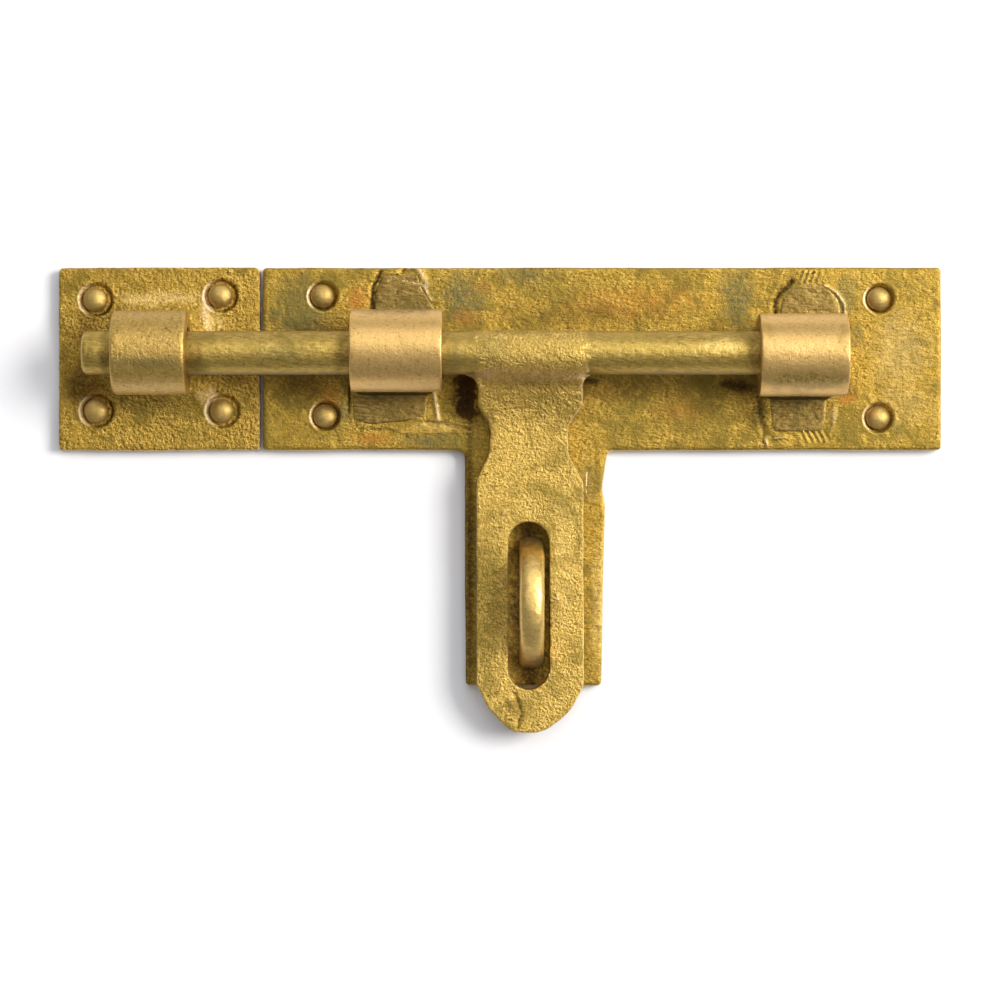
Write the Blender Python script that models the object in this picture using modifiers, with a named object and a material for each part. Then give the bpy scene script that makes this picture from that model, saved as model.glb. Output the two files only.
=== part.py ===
"""Toggle bolt latch: a round bolt in two guides on a T-shaped plate, its hasp and staple, and the keeper.

The latch lies on its back. The XY plane is the face of the door, +Z points out of the door, and +X runs along
the bolt towards the withdrawn side. The origin is on the back of the main plate, under the point where the
hasp's centreline crosses the bolt's axis. Every size below is in millimetres, and the helpers that make
meshes turn them into metres.
"""

import math

import bmesh
import bpy
from mathutils import Matrix, Vector

MM = 0.001
YZ_FRAME = Matrix(((0, 0, 1, 0), (1, 0, 0, 0), (0, 1, 0, 0), (0, 0, 0, 1)))  # lays a (y, z) profile across X

# Clearances
BUILD_GAP = 0.3  # between pieces that are fastened together
RUNNING_GAP = 0.825  # radial play of the bolt in its guides and in the keeper
LEAF_GAP = 0.58  # between the keeper and the main plate

# Main plate: a bar along the bolt and a stem under the hasp
PLATE_LENGTH = 153.7
PLATE_HEIGHT = 41.4
PLATE_THICKNESS = 3.0
AXIS_FROM_TOP = 19.8
HASP_FROM_LEFT = 60.5
STEM_LEFT = 14.6  # from the hasp's centreline to the stem's left edge
STEM_RIGHT_TOP = 17.3
STEM_RIGHT_FOOT = 16.2
STEM_FILLET = 2.0
PLATE_CORNER = 0.8
PLATE_EDGE = 0.35  # broken edge all round

# Bolt and guides
BOLT_DIAMETER = 9.75
BOLT_NOSE = 6.9  # stands out past the keeper's barrel
BOLT_NOSE_ROUND = 1.3
BOLT_TAIL_INSET = 1.6  # the tail stops short of the right guide's outer end
GUIDE_WALL = 3.5
GUIDE_LENGTHS = {"left_guide": 20.5, "right_guide": 19.6}
LEFT_GUIDE_FROM_EDGE = 30.65  # plate's left edge to the guide's middle
RIGHT_GUIDE_FROM_EDGE = 32.4
GUIDE_SETTINGS = {"left_guide": 0.6, "right_guide": -0.6}  # share of the play by which each barrel sits off the axis
BARREL_EDGE = 0.5
SADDLE_WEB = 1.0  # metal left under the barrel
SADDLE_LIP = 0.9  # how far the feet stand above that
FOOT_FROM_EDGE = 3.2  # the feet stop this far inside the plate's long edges

# Keeper
KEEPER_LENGTH = 45.6
KEEPER_BARREL_WALL = 3.7
KEEPER_BARREL_LENGTH = 16.6
KEEPER_BARREL_FROM_EDGE = 23.6  # keeper's right edge to the barrel's middle
PAD_LIP = 1.7  # how far the pad's two horns stand above its web
PAD_HALF_WIDTH = 9.9
PAD_END = 1.4
PAD_SLOPE = 1.6

# Hasp
HASP_LIFT = 0.9  # air between the plate and the hasp
HASP_THICKNESS = 4.5
HASP_WIDTH = 24.0
HASP_WAIST = 17.8
HASP_WAIST_AT = 19.6  # below the bolt's axis
HEAD_LAND = 6.5  # the square head reaches this far past the bolt's side
HASP_SHOULDER_AT = 28.6
HASP_TIP_LAND = 9.8  # metal past the end of the slot
HASP_TIP_FLAT = 7.6
HASP_EDGE = 0.5
HEAD_SLOPE_SHARE = 0.9  # share of that land that the slope down from the bolt takes up
HEAD_BACK = 2.2  # the head reaches this far past the axis, under the bolt
HEAD_LIP = 0.6  # thickness of the head's edge where it meets the bolt
HEAD_THICKENING = (0.0, 0.3, 0.9, 1.9)  # added to the lip at even steps round the bolt
HEAD_WRAP = 48.0  # degrees above the axis at which the head meets the bolt
SLOT_WIDTH = 9.35
SLOT_OFFSET = -0.28
SLOT_PLAY_NEAR = 3.2  # from the staple's upper end to the slot's
SLOT_PLAY_FAR = 4.4

# Staple
STAPLE_AT = 56.0  # below the bolt's axis
STAPLE_OFFSET = 0.37
STAPLE_LENGTH = 30.0
STAPLE_WIDTH = 5.6
STAPLE_DEPTH = 3.8  # thickness of the loop along its radius
STAPLE_EYE = 5.1  # room over the hasp's face for a shackle
STAPLE_BEND_BELOW_FACE = 0.7  # the legs start to bend this far under the plate's face
STAPLE_CHAMFER = (1.2, 1.85)  # across the width, and along the radius
STEM_PAST_STAPLE = 18.9

# Nails: each plate's four, measured in from its own corner
NAIL_SHANK = 2.8
NAIL_HEAD = 5.4
NAIL_RISE = 1.7  # the dome above the plate's face
NAIL_HOLE_PLAY = 0.3
SINK_DIAMETER = 7.3
SINK_DEPTH = 0.9
MAIN_NAILS = {
    "upper_left": (13.5, 6.5),
    "lower_left": (14.1, 7.8),
    "upper_right": (14.2, 7.1),
    "lower_right": (14.4, 7.4),
}
KEEPER_NAILS = {
    "upper_left": (8.3, 7.3),
    "lower_left": (8.5, 8.9),
    "upper_right": (9.0, 6.4),
    "lower_right": (8.6, 8.9),
}

# Worked out from the sizes above
BORE = BOLT_DIAMETER + 2 * RUNNING_GAP
GUIDE_DIAMETER = BORE + 2 * GUIDE_WALL
KEEPER_BARREL_DIAMETER = BORE + 2 * KEEPER_BARREL_WALL
AXIS_HEIGHT = PLATE_THICKNESS + 2 * BUILD_GAP + SADDLE_WEB + GUIDE_DIAMETER / 2
PLATE_LEFT = -HASP_FROM_LEFT
PLATE_RIGHT = PLATE_LEFT + PLATE_LENGTH
PLATE_TOP = AXIS_FROM_TOP
PLATE_BOTTOM = AXIS_FROM_TOP - PLATE_HEIGHT
STEM_FOOT = -STAPLE_AT - STEM_PAST_STAPLE
KEEPER_RIGHT = PLATE_LEFT - LEAF_GAP
KEEPER_LEFT = KEEPER_RIGHT - KEEPER_LENGTH
KEEPER_BARREL_X = KEEPER_RIGHT - KEEPER_BARREL_FROM_EDGE
GUIDE_X = {"left_guide": PLATE_LEFT + LEFT_GUIDE_FROM_EDGE, "right_guide": PLATE_RIGHT - RIGHT_GUIDE_FROM_EDGE}
GUIDE_Y = {name: share * RUNNING_GAP for name, share in GUIDE_SETTINGS.items()}
BOLT_LEFT = KEEPER_BARREL_X - KEEPER_BARREL_LENGTH / 2 - BOLT_NOSE
BOLT_RIGHT = GUIDE_X["right_guide"] + GUIDE_LENGTHS["right_guide"] / 2 - BOLT_TAIL_INSET
HASP_BACK = PLATE_THICKNESS + HASP_LIFT
HASP_FRONT = HASP_BACK + HASP_THICKNESS
HASP_HEAD_END = BOLT_DIAMETER / 2 + HEAD_LAND
SLOT_NEAR = -STAPLE_AT + STAPLE_LENGTH / 2 + SLOT_PLAY_NEAR
SLOT_FAR = -STAPLE_AT - STAPLE_LENGTH / 2 - SLOT_PLAY_FAR
HASP_TIP = SLOT_FAR - HASP_TIP_LAND
STAPLE_HALF_SPAN = (STAPLE_LENGTH - STAPLE_DEPTH) / 2
STAPLE_LEG_TOP = PLATE_THICKNESS - STAPLE_BEND_BELOW_FACE
STAPLE_ARCH = HASP_FRONT + STAPLE_EYE + STAPLE_DEPTH / 2 - STAPLE_LEG_TOP
SADDLE_BASE = PLATE_THICKNESS + BUILD_GAP
SADDLE_TOP = SADDLE_BASE + SADDLE_WEB + SADDLE_LIP

TURNED_STEPS = 48
NAIL_STEPS = 20
CORNER_STEPS = 4
BEND_STEPS = 20


# ---------------------------------------------------------------- scene and materials


def clear_scene():
    """Removes every object, mesh, curve and collection that the scene starts with."""
    for obj in list(bpy.data.objects):
        bpy.data.objects.remove(obj, do_unlink=True)
    for collection in list(bpy.data.collections):
        bpy.data.collections.remove(collection)


def new_collection(name):
    """An empty collection in the scene."""
    collection = bpy.data.collections.new(name)
    bpy.context.scene.collection.children.link(collection)
    return collection


def brass(name, colour, roughness):
    """A Principled material for one finish of the brass."""
    material = bpy.data.materials.new(name)
    material.use_nodes = True
    shader = material.node_tree.nodes["Principled BSDF"]
    shader.inputs["Base Color"].default_value = (*colour, 1.0)
    shader.inputs["Metallic"].default_value = 1.0
    shader.inputs["Roughness"].default_value = roughness
    return material


# ---------------------------------------------------------------- shape helpers


def rounded_outline(corners, steps=CORNER_STEPS):
    """Points of a closed outline whose (x, y, radius) corners are rounded by arcs."""
    points = []
    for i, (x, y, radius) in enumerate(corners):
        corner = Vector((x, y))
        if radius == 0:
            points.append(corner)
            continue
        back = Vector(corners[i - 1][:2]) - corner
        ahead = Vector(corners[(i + 1) % len(corners)][:2]) - corner
        half_angle = back.angle(ahead) / 2
        reach = min(radius / math.tan(half_angle), back.length / 2.05, ahead.length / 2.05)
        radius = reach * math.tan(half_angle)
        inward = (back.normalized() + ahead.normalized()).normalized()
        centre = corner + inward * radius / math.sin(half_angle)
        first = corner + back.normalized() * reach - centre
        last = corner + ahead.normalized() * reach - centre
        turn = math.atan2(first.x * last.y - first.y * last.x, first.dot(last))
        for k in range(steps + 1):
            points.append(centre + Matrix.Rotation(turn * k / steps, 2) @ first)
    return points


def link_mesh(name, mesh, collection, material):
    """Makes an object of a mesh, in its collection and its finish."""
    obj = bpy.data.objects.new(name, mesh)
    collection.objects.link(obj)
    if material:
        mesh.materials.append(material)
    return obj


def extruded(name, outlines, bottom, top, collection, material=None, frame=None):
    """A mesh object from closed outlines, the inner ones as holes, between two heights of the given frame."""
    curve = bpy.data.curves.new(name, "CURVE")
    curve.dimensions = "2D"
    curve.fill_mode = "BOTH"
    curve.extrude = (top - bottom) / 2 * MM
    for outline in outlines:
        spline = curve.splines.new("POLY")
        spline.points.add(len(outline) - 1)
        for point, place in zip(spline.points, outline):
            point.co = (place[0] * MM, place[1] * MM, 0.0, 1.0)
        spline.use_cyclic_u = True
    outline_object = bpy.data.objects.new(name, curve)
    collection.objects.link(outline_object)
    bpy.context.view_layer.update()
    graph = bpy.context.evaluated_depsgraph_get()
    mesh = bpy.data.meshes.new_from_object(outline_object.evaluated_get(graph))
    bpy.data.objects.remove(outline_object, do_unlink=True)
    bpy.data.curves.remove(curve)
    shell = bmesh.new()
    shell.from_mesh(mesh)
    bmesh.ops.remove_doubles(shell, verts=shell.verts, dist=1e-6)
    if len(outlines) == 1:
        for side in (-1, 1):
            cap = [face for face in shell.faces if all(vert.co.z * side > 0 for vert in face.verts)]
            bmesh.ops.dissolve_faces(shell, faces=cap)
    place = (frame or Matrix()) @ Matrix.Translation((0, 0, (top + bottom) / 2 * MM))
    bmesh.ops.transform(shell, matrix=place, verts=shell.verts)
    bmesh.ops.recalc_face_normals(shell, faces=shell.faces)
    shell.to_mesh(mesh)
    shell.free()
    mesh.name = name
    mesh.materials.clear()
    return link_mesh(name, mesh, collection, material)


def turned(name, profile, collection, material=None, steps=TURNED_STEPS, closed=False):
    """A piece turned about its own Z axis. The (radius, height) profile runs down the outer side."""
    mesh = bpy.data.meshes.new(name)
    edges = [(i, i + 1) for i in range(len(profile) - 1)]
    if closed:
        edges.append((len(profile) - 1, 0))
    mesh.from_pydata([(r * MM, 0.0, h * MM) for r, h in profile], edges, [])
    obj = link_mesh(name, mesh, collection, material)
    screw = obj.modifiers.new("Turn", "SCREW")
    screw.steps = steps
    screw.render_steps = steps
    screw.use_merge_vertices = True
    screw.merge_threshold = 1e-6
    screw.use_smooth_shade = True
    return obj


def along_x(obj, x, y, z):
    """Lays a turned piece along +X with its middle at a point."""
    obj.rotation_euler = (0.0, math.pi / 2, 0.0)
    obj.location = (x * MM, y * MM, z * MM)
    return obj


def cylinder(name, diameter, length, collection, steps=TURNED_STEPS):
    """A plain cutter about its own Z axis, centred on its origin."""
    mesh = bpy.data.meshes.new(name)
    shell = bmesh.new()
    bmesh.ops.create_cone(
        shell,
        cap_ends=True,
        segments=steps,
        radius1=diameter / 2 * MM,
        radius2=diameter / 2 * MM,
        depth=length * MM,
    )
    shell.to_mesh(mesh)
    shell.free()
    return link_mesh(name, mesh, collection, None)


def hide_cutter(cutter):
    """Keeps a cutter out of the render and shows it as wires."""
    cutter.hide_render = True
    cutter.display_type = "WIRE"
    return cutter


def bevel(obj, width, angle=40.0):
    """Breaks the edges that are sharper than an angle in degrees."""
    modifier = obj.modifiers.new("Broken edge", "BEVEL")
    modifier.width = width * MM
    modifier.segments = 1
    modifier.limit_method = "ANGLE"
    modifier.angle_limit = math.radians(angle)
    return modifier


def boolean(obj, other, operation="DIFFERENCE"):
    """Cuts another object out of this one, or joins it on."""
    modifier = obj.modifiers.new(other.name, "BOOLEAN")
    modifier.operation = operation
    modifier.object = hide_cutter(other)
    return modifier


# ---------------------------------------------------------------- nails


def nail_places(nails, left, right):
    """Each nail's name and centre, from its plate's corners."""
    places = {}
    for corner, (inset_x, inset_y) in nails.items():
        x = left + inset_x if corner.endswith("left") else right - inset_x
        y = PLATE_TOP - inset_y if corner.startswith("upper") else PLATE_BOTTOM + inset_y
        places[corner] = (x, y)
    return places


def nail(name, x, y, collection, material):
    """A round-headed nail: its dome sits in the sinking of the plate, and its shank ends flush with the back."""
    seat = PLATE_THICKNESS - SINK_DEPTH + BUILD_GAP
    crown = PLATE_THICKNESS + NAIL_RISE
    rim = seat + (crown - seat) * 0.3
    head = NAIL_HEAD / 2
    dome = [(0.0, crown)]
    for degrees in (25, 48, 70, 90):
        turn = math.radians(degrees)
        dome.append((head * math.sin(turn), rim + (crown - rim) * math.cos(turn)))
    profile = dome + [(head * 0.93, seat), (NAIL_SHANK / 2, seat), (NAIL_SHANK / 2, 0.0), (0.0, 0.0)]
    obj = turned(name, profile, collection, material, steps=NAIL_STEPS)
    obj.location = (x * MM, y * MM, 0.0)
    return obj


def drill_for_nails(plate, places, cutters):
    """Cuts each nail's hole and the shallow sinking round its head."""
    for corner, (x, y) in places.items():
        hole = cylinder(
            f"{plate.name}_hole_{corner}",
            NAIL_SHANK + 2 * NAIL_HOLE_PLAY,
            3 * PLATE_THICKNESS,
            cutters,
            NAIL_STEPS,
        )
        hole.location = (x * MM, y * MM, PLATE_THICKNESS / 2 * MM)
        boolean(plate, hole)
        sinking = cylinder(f"{plate.name}_sinking_{corner}", SINK_DIAMETER, 2 * SINK_DEPTH, cutters, NAIL_STEPS)
        sinking.location = (x * MM, y * MM, PLATE_THICKNESS * MM)
        boolean(plate, sinking)


# ---------------------------------------------------------------- pieces on the door


def main_plate(parts, cutters, material):
    """The T-shaped plate, drilled for its nails and for the two legs of the staple."""
    outline = rounded_outline(
        [
            (PLATE_LEFT, PLATE_TOP, PLATE_CORNER),
            (PLATE_LEFT, PLATE_BOTTOM, PLATE_CORNER),
            (-STEM_LEFT, PLATE_BOTTOM, STEM_FILLET),
            (-STEM_LEFT, STEM_FOOT, PLATE_CORNER),
            (STEM_RIGHT_FOOT, STEM_FOOT, PLATE_CORNER),
            (STEM_RIGHT_TOP, PLATE_BOTTOM, STEM_FILLET),
            (PLATE_RIGHT, PLATE_BOTTOM, PLATE_CORNER),
            (PLATE_RIGHT, PLATE_TOP, PLATE_CORNER),
        ]
    )
    plate = extruded("main_plate", [outline], 0.0, PLATE_THICKNESS, parts, material)
    bevel(plate, PLATE_EDGE)
    drill_for_nails(plate, nail_places(MAIN_NAILS, PLATE_LEFT, PLATE_RIGHT), cutters)
    for side, end in (("near", 1), ("far", -1)):
        middle = -STAPLE_AT + end * STAPLE_HALF_SPAN
        hole = extruded(
            f"staple_hole_{side}",
            [staple_section(BUILD_GAP, STAPLE_OFFSET, middle)],
            -PLATE_THICKNESS,
            2 * PLATE_THICKNESS,
            cutters,
        )
        boolean(plate, hole)
    return plate


def barrel(name, outer_diameter, length, x, y, collection, material):
    """A guide or keeper barrel along X, bored for the bolt, with its edges broken."""
    outer, inner, half = outer_diameter / 2, BORE / 2, length / 2
    edge = min(BARREL_EDGE, (outer - inner) / 3)
    profile = [
        (outer - edge, half),
        (outer - 0.3 * edge, half - 0.3 * edge),
        (outer, half - edge),
        (outer, edge - half),
        (outer - 0.3 * edge, 0.3 * edge - half),
        (outer - edge, -half),
        (inner + edge / 2, -half),
        (inner, edge / 2 - half),
        (inner, half - edge / 2),
        (inner + edge / 2, half),
    ]
    ring = turned(name, profile, collection, material, closed=True)
    return along_x(ring, x, y, AXIS_HEIGHT)


def saddle_outline(guide):
    """Plan of the flat piece under a guide, with one foot above the barrel and one below it."""
    half = GUIDE_LENGTHS[guide] / 2
    x = GUIDE_X[guide]
    top = PLATE_TOP - FOOT_FROM_EDGE
    bottom = PLATE_BOTTOM + FOOT_FROM_EDGE
    if guide == "left_guide":
        return rounded_outline(
            [
                (x - half + 5.2, top, 1.0),
                (x - half + 5.0, 0.0, 0.0),
                (x - half, -half / 2, 1.0),
                (x - half, bottom + 3.0, 1.5),
                (x + half - 3.2, bottom + 3.0, 1.5),
                (x + half - 2.0, 0.0, 1.0),
                (x + half - 4.0, top, 1.5),
            ]
        )
    return rounded_outline(
        [
            (x - half + 4.9, top, 7.0),
            (x - half + 4.9, 0.0, 0.0),
            (x - half + 2.5, -half / 2, 1.0),
            (x - half + 4.4, bottom, 2.5),
            (x + half - 4.2, bottom, 2.5),
            (x + half - 3.2, -half / 2, 1.0),
            (x + half - 0.3, 0.0, 0.0),
            (x + half - 0.3, top, 7.0),
        ]
    )


def saddle(guide, parts, cutters, material):
    """The piece brazed to the plate under a guide, hollowed on top to carry the barrel."""
    obj = extruded(f"{guide}_saddle", [saddle_outline(guide)], SADDLE_BASE, SADDLE_TOP, parts, material)
    bevel(obj, PLATE_EDGE)
    seat = cylinder(f"{guide}_seat", GUIDE_DIAMETER + 2 * BUILD_GAP, 2 * GUIDE_LENGTHS[guide], cutters)
    along_x(seat, GUIDE_X[guide], GUIDE_Y[guide], AXIS_HEIGHT)
    boolean(obj, seat)
    return obj


def staple_section(grow, x, y):
    """The leg's section in plan, grown by a clearance on every side."""
    half_width, half_depth = STAPLE_WIDTH / 2 + grow, STAPLE_DEPTH / 2 + grow
    return rounded_outline(
        [
            (x - half_width, y - half_depth, 0.4),
            (x + half_width, y - half_depth, 0.4),
            (x + half_width, y + half_depth, 0.4),
            (x - half_width, y + half_depth, 0.4),
        ],
        steps=2,
    )


def staple(parts, material):
    """The staple: a half ring standing across the stem, whose legs run through the plate and are peened flush."""
    chamfer_across, chamfer_along = STAPLE_CHAMFER
    half_width, half_depth = STAPLE_WIDTH / 2, STAPLE_DEPTH / 2
    inner_corner = 0.6
    section = [
        (half_width - inner_corner, -half_depth),
        (half_width, -half_depth + inner_corner),
        (half_width, half_depth - chamfer_along),
        (half_width - chamfer_across, half_depth),
        (chamfer_across - half_width, half_depth),
        (-half_width, half_depth - chamfer_along),
        (-half_width, -half_depth + inner_corner),
        (inner_corner - half_width, -half_depth),
    ]
    stations = [(0.0, -STAPLE_LEG_TOP)]
    stations += [(math.pi * k / BEND_STEPS, 0.0) for k in range(BEND_STEPS + 1)]
    stations.append((math.pi, -STAPLE_LEG_TOP))
    shell = bmesh.new()
    rings = []
    for turn, drop in stations:
        ring = []
        for across, outward in section:
            y = -STAPLE_AT + (STAPLE_HALF_SPAN + outward) * math.cos(turn)
            z = STAPLE_LEG_TOP + (STAPLE_ARCH + outward) * math.sin(turn) + drop
            ring.append(shell.verts.new(((STAPLE_OFFSET + across) * MM, y * MM, z * MM)))
        rings.append(ring)
    for ring in (rings[0], rings[-1]):
        shell.faces.new(ring)
    count = len(section)
    for ring, following in zip(rings, rings[1:]):
        for k in range(count):
            shell.faces.new((ring[k], ring[(k + 1) % count], following[(k + 1) % count], following[k]))
    bmesh.ops.recalc_face_normals(shell, faces=shell.faces)
    mesh = bpy.data.meshes.new("staple")
    shell.to_mesh(mesh)
    shell.free()
    return link_mesh("staple", mesh, parts, material)


# ---------------------------------------------------------------- keeper


def keeper_plate(parts, cutters, material):
    """The keeper's square plate with the raised pad that carries its barrel."""
    outline = rounded_outline(
        [
            (KEEPER_LEFT, PLATE_TOP, PLATE_CORNER),
            (KEEPER_LEFT, PLATE_BOTTOM, PLATE_CORNER),
            (KEEPER_RIGHT, PLATE_BOTTOM, PLATE_CORNER),
            (KEEPER_RIGHT, PLATE_TOP, PLATE_CORNER),
        ]
    )
    plate = extruded("keeper_plate", [outline], 0.0, PLATE_THICKNESS, parts, material)
    bevel(plate, PLATE_EDGE)
    seat_diameter = KEEPER_BARREL_DIAMETER + 2 * BUILD_GAP
    pad_top = AXIS_HEIGHT - seat_diameter / 2 + PAD_LIP
    pad_profile = [
        (-PAD_HALF_WIDTH - PAD_SLOPE, PLATE_THICKNESS / 2),
        (PAD_HALF_WIDTH + PAD_SLOPE, PLATE_THICKNESS / 2),
        (PAD_HALF_WIDTH + PAD_SLOPE, PLATE_THICKNESS + 0.2),
        (PAD_HALF_WIDTH - PAD_SLOPE, pad_top),
        (-PAD_HALF_WIDTH + PAD_SLOPE, pad_top),
        (-PAD_HALF_WIDTH - PAD_SLOPE, PLATE_THICKNESS + 0.2),
    ]
    half = KEEPER_BARREL_LENGTH / 2
    pad = extruded(
        "keeper_pad",
        [pad_profile],
        KEEPER_BARREL_X - half - PAD_END,
        KEEPER_BARREL_X + half + PAD_END,
        cutters,
        frame=YZ_FRAME,
    )
    boolean(plate, pad, "UNION")
    seat = cylinder("keeper_seat", seat_diameter, 3 * KEEPER_BARREL_LENGTH, cutters)
    along_x(seat, KEEPER_BARREL_X, 0.0, AXIS_HEIGHT)
    boolean(plate, seat)
    drill_for_nails(plate, nail_places(KEEPER_NAILS, KEEPER_LEFT, KEEPER_RIGHT), cutters)
    return plate


# ---------------------------------------------------------------- moving pieces


def bolt_rod(parts, material):
    """The round bolt, from its nose past the keeper to its tail inside the right guide."""
    radius, half = BOLT_DIAMETER / 2, (BOLT_RIGHT - BOLT_LEFT) / 2
    nose = min(BOLT_NOSE_ROUND, radius / 2)
    profile = [(0.0, half), (radius - 0.5, half), (radius, half - 0.5)]
    for degrees in (0, 30, 60, 90):
        turn = math.radians(degrees)
        profile.append((radius - nose * (1 - math.cos(turn)), -half + nose * (1 - math.sin(turn))))
    profile.append((0.0, -half))
    rod = turned("bolt_rod", profile, parts, material)
    return along_x(rod, (BOLT_LEFT + BOLT_RIGHT) / 2, 0.0, AXIS_HEIGHT)


def hasp_outline():
    """Plan of the hasp: square head, waist, parallel body and blunt tip."""
    half = HASP_WIDTH / 2
    waist = HASP_WAIST / 2
    right = [
        (half, HEAD_BACK, 0.0),
        (half, -HASP_HEAD_END, 3.0),
        (waist, (-HASP_HEAD_END - HASP_WAIST_AT) / 2 - 1.2, 4.0),
        (waist, -HASP_WAIST_AT - 2.6, 5.0),
        (half, -HASP_SHOULDER_AT, 3.0),
        (half, HASP_TIP + HASP_TIP_LAND - 0.3, 2.5),
        (HASP_TIP_FLAT / 2, HASP_TIP, 5.0),
    ]
    left = [(-x, y, radius) for x, y, radius in reversed(right)]
    return rounded_outline(right + left)


def slot_outline():
    """Plan of the hasp's round-ended slot."""
    radius = SLOT_WIDTH / 2
    corners = [
        (SLOT_OFFSET - radius, SLOT_NEAR, radius),
        (SLOT_OFFSET - radius, SLOT_FAR, radius),
        (SLOT_OFFSET + radius, SLOT_FAR, radius),
        (SLOT_OFFSET + radius, SLOT_NEAR, radius),
    ]
    return rounded_outline(corners, steps=6)


def hasp(parts, cutters, material):
    """The slotted hasp, whose head rises to the bolt and wraps its front and underside."""
    obj = extruded("hasp", [hasp_outline(), slot_outline()], HASP_BACK, HASP_FRONT, parts, material)
    bevel(obj, HASP_EDGE)
    wrap_radius = BOLT_DIAMETER / 2 + BUILD_GAP
    inside_radius = 0.9 * wrap_radius
    lip = math.radians(HEAD_WRAP)
    reach = BOLT_DIAMETER / 2 + HEAD_LAND * HEAD_SLOPE_SHARE
    head_profile = [
        (HEAD_BACK - HASP_EDGE, HASP_BACK + HASP_EDGE),
        (HEAD_BACK - HASP_EDGE, AXIS_HEIGHT),
        (-inside_radius * math.cos(lip), AXIS_HEIGHT + inside_radius * math.sin(lip)),
    ]
    for step, thickening in enumerate(HEAD_THICKENING):
        turn = lip * (1 - step / (len(HEAD_THICKENING) - 1.5))
        radius = wrap_radius + HEAD_LIP + thickening
        head_profile.append((-radius * math.cos(turn), AXIS_HEIGHT + radius * math.sin(turn)))
    head_profile += [
        (-reach, HASP_FRONT - HASP_EDGE / 2),
        (-reach, HASP_BACK + HASP_EDGE),
    ]
    half = HASP_WIDTH / 2 - HASP_EDGE / 2
    head = extruded("hasp_head", [head_profile], -half, half, cutters, frame=YZ_FRAME)
    boolean(obj, head, "UNION")
    clearance = cylinder("bolt_clearance", 2 * wrap_radius, 3 * HASP_WIDTH, cutters)
    along_x(clearance, 0.0, 0.0, AXIS_HEIGHT)
    boolean(obj, clearance)
    return obj


def main():
    """Builds every piece in place, each under its own name."""
    clear_scene()
    parts = new_collection("toggle_bolt_latch")
    cutters = new_collection("cutters")
    plate_brass = brass("plate_brass", (0.42, 0.28, 0.08), 0.42)
    cast_brass = brass("cast_brass", (0.55, 0.38, 0.12), 0.45)
    barrel_brass = brass("barrel_brass", (0.62, 0.43, 0.19), 0.36)
    bolt_brass = brass("bolt_brass", (0.45, 0.33, 0.13), 0.34)
    nail_brass = brass("nail_brass", (0.52, 0.35, 0.10), 0.30)

    main_plate(parts, cutters, plate_brass)
    for guide in GUIDE_LENGTHS:
        barrel(guide, GUIDE_DIAMETER, GUIDE_LENGTHS[guide], GUIDE_X[guide], GUIDE_Y[guide], parts, barrel_brass)
        saddle(guide, parts, cutters, plate_brass)
    staple(parts, bolt_brass)
    for corner, (x, y) in nail_places(MAIN_NAILS, PLATE_LEFT, PLATE_RIGHT).items():
        nail(f"plate_nail_{corner}", x, y, parts, nail_brass)

    keeper_plate(parts, cutters, cast_brass)
    barrel(
        "keeper_barrel",
        KEEPER_BARREL_DIAMETER,
        KEEPER_BARREL_LENGTH,
        KEEPER_BARREL_X,
        0.0,
        parts,
        barrel_brass,
    )
    for corner, (x, y) in nail_places(KEEPER_NAILS, KEEPER_LEFT, KEEPER_RIGHT).items():
        nail(f"keeper_nail_{corner}", x, y, parts, nail_brass)

    bolt_rod(parts, bolt_brass)
    hasp(parts, cutters, cast_brass)


main()
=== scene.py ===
"""Looks of the toggle bolt latch: a hand-made brass door bolt, its hasp and staple, and the keeper.

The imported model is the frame. Every piece of it is made again here as a finer mesh in the same place, rides
on the same body, and gets its own brass finish. Sizes are in millimetres, and places come from the frame.
"""

from __future__ import annotations

import logging
import math
import random
from dataclasses import dataclass, field, replace
from enum import Enum
from functools import reduce
from typing import Callable, Iterable, Sequence

import bmesh
import bpy
from mathutils import Matrix, Vector, noise

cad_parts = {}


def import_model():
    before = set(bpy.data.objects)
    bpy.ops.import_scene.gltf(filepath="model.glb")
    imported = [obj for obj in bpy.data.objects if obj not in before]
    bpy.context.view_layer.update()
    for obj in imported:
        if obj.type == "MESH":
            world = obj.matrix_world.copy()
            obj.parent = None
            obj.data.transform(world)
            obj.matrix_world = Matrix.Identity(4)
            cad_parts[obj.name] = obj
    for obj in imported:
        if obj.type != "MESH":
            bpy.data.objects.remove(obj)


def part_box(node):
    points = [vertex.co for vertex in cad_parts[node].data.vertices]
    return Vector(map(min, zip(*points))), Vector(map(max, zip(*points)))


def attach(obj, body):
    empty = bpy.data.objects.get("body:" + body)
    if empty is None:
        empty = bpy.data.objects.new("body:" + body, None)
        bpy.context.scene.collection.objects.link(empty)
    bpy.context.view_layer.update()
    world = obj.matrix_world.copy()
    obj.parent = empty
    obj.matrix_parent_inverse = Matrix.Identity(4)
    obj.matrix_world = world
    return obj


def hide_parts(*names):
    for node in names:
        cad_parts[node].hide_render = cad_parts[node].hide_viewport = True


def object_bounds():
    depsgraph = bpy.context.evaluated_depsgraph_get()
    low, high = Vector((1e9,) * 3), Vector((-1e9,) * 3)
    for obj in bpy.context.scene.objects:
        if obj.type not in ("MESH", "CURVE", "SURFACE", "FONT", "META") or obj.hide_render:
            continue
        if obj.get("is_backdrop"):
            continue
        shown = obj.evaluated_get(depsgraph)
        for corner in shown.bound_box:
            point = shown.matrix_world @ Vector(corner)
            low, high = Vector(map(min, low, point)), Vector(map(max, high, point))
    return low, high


LOG = logging.getLogger("latch")
MM = 0.001
FRAME_BOX: list[Sequence[float]] = []  # lowest and highest corner of the frame, which no piece passes
Colour = tuple[float, float, float]
Point = tuple[float, float]
EVEN = (1.0, 1.0, 1.0)


# ------------------------------------------------------------------ shader maths


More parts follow.
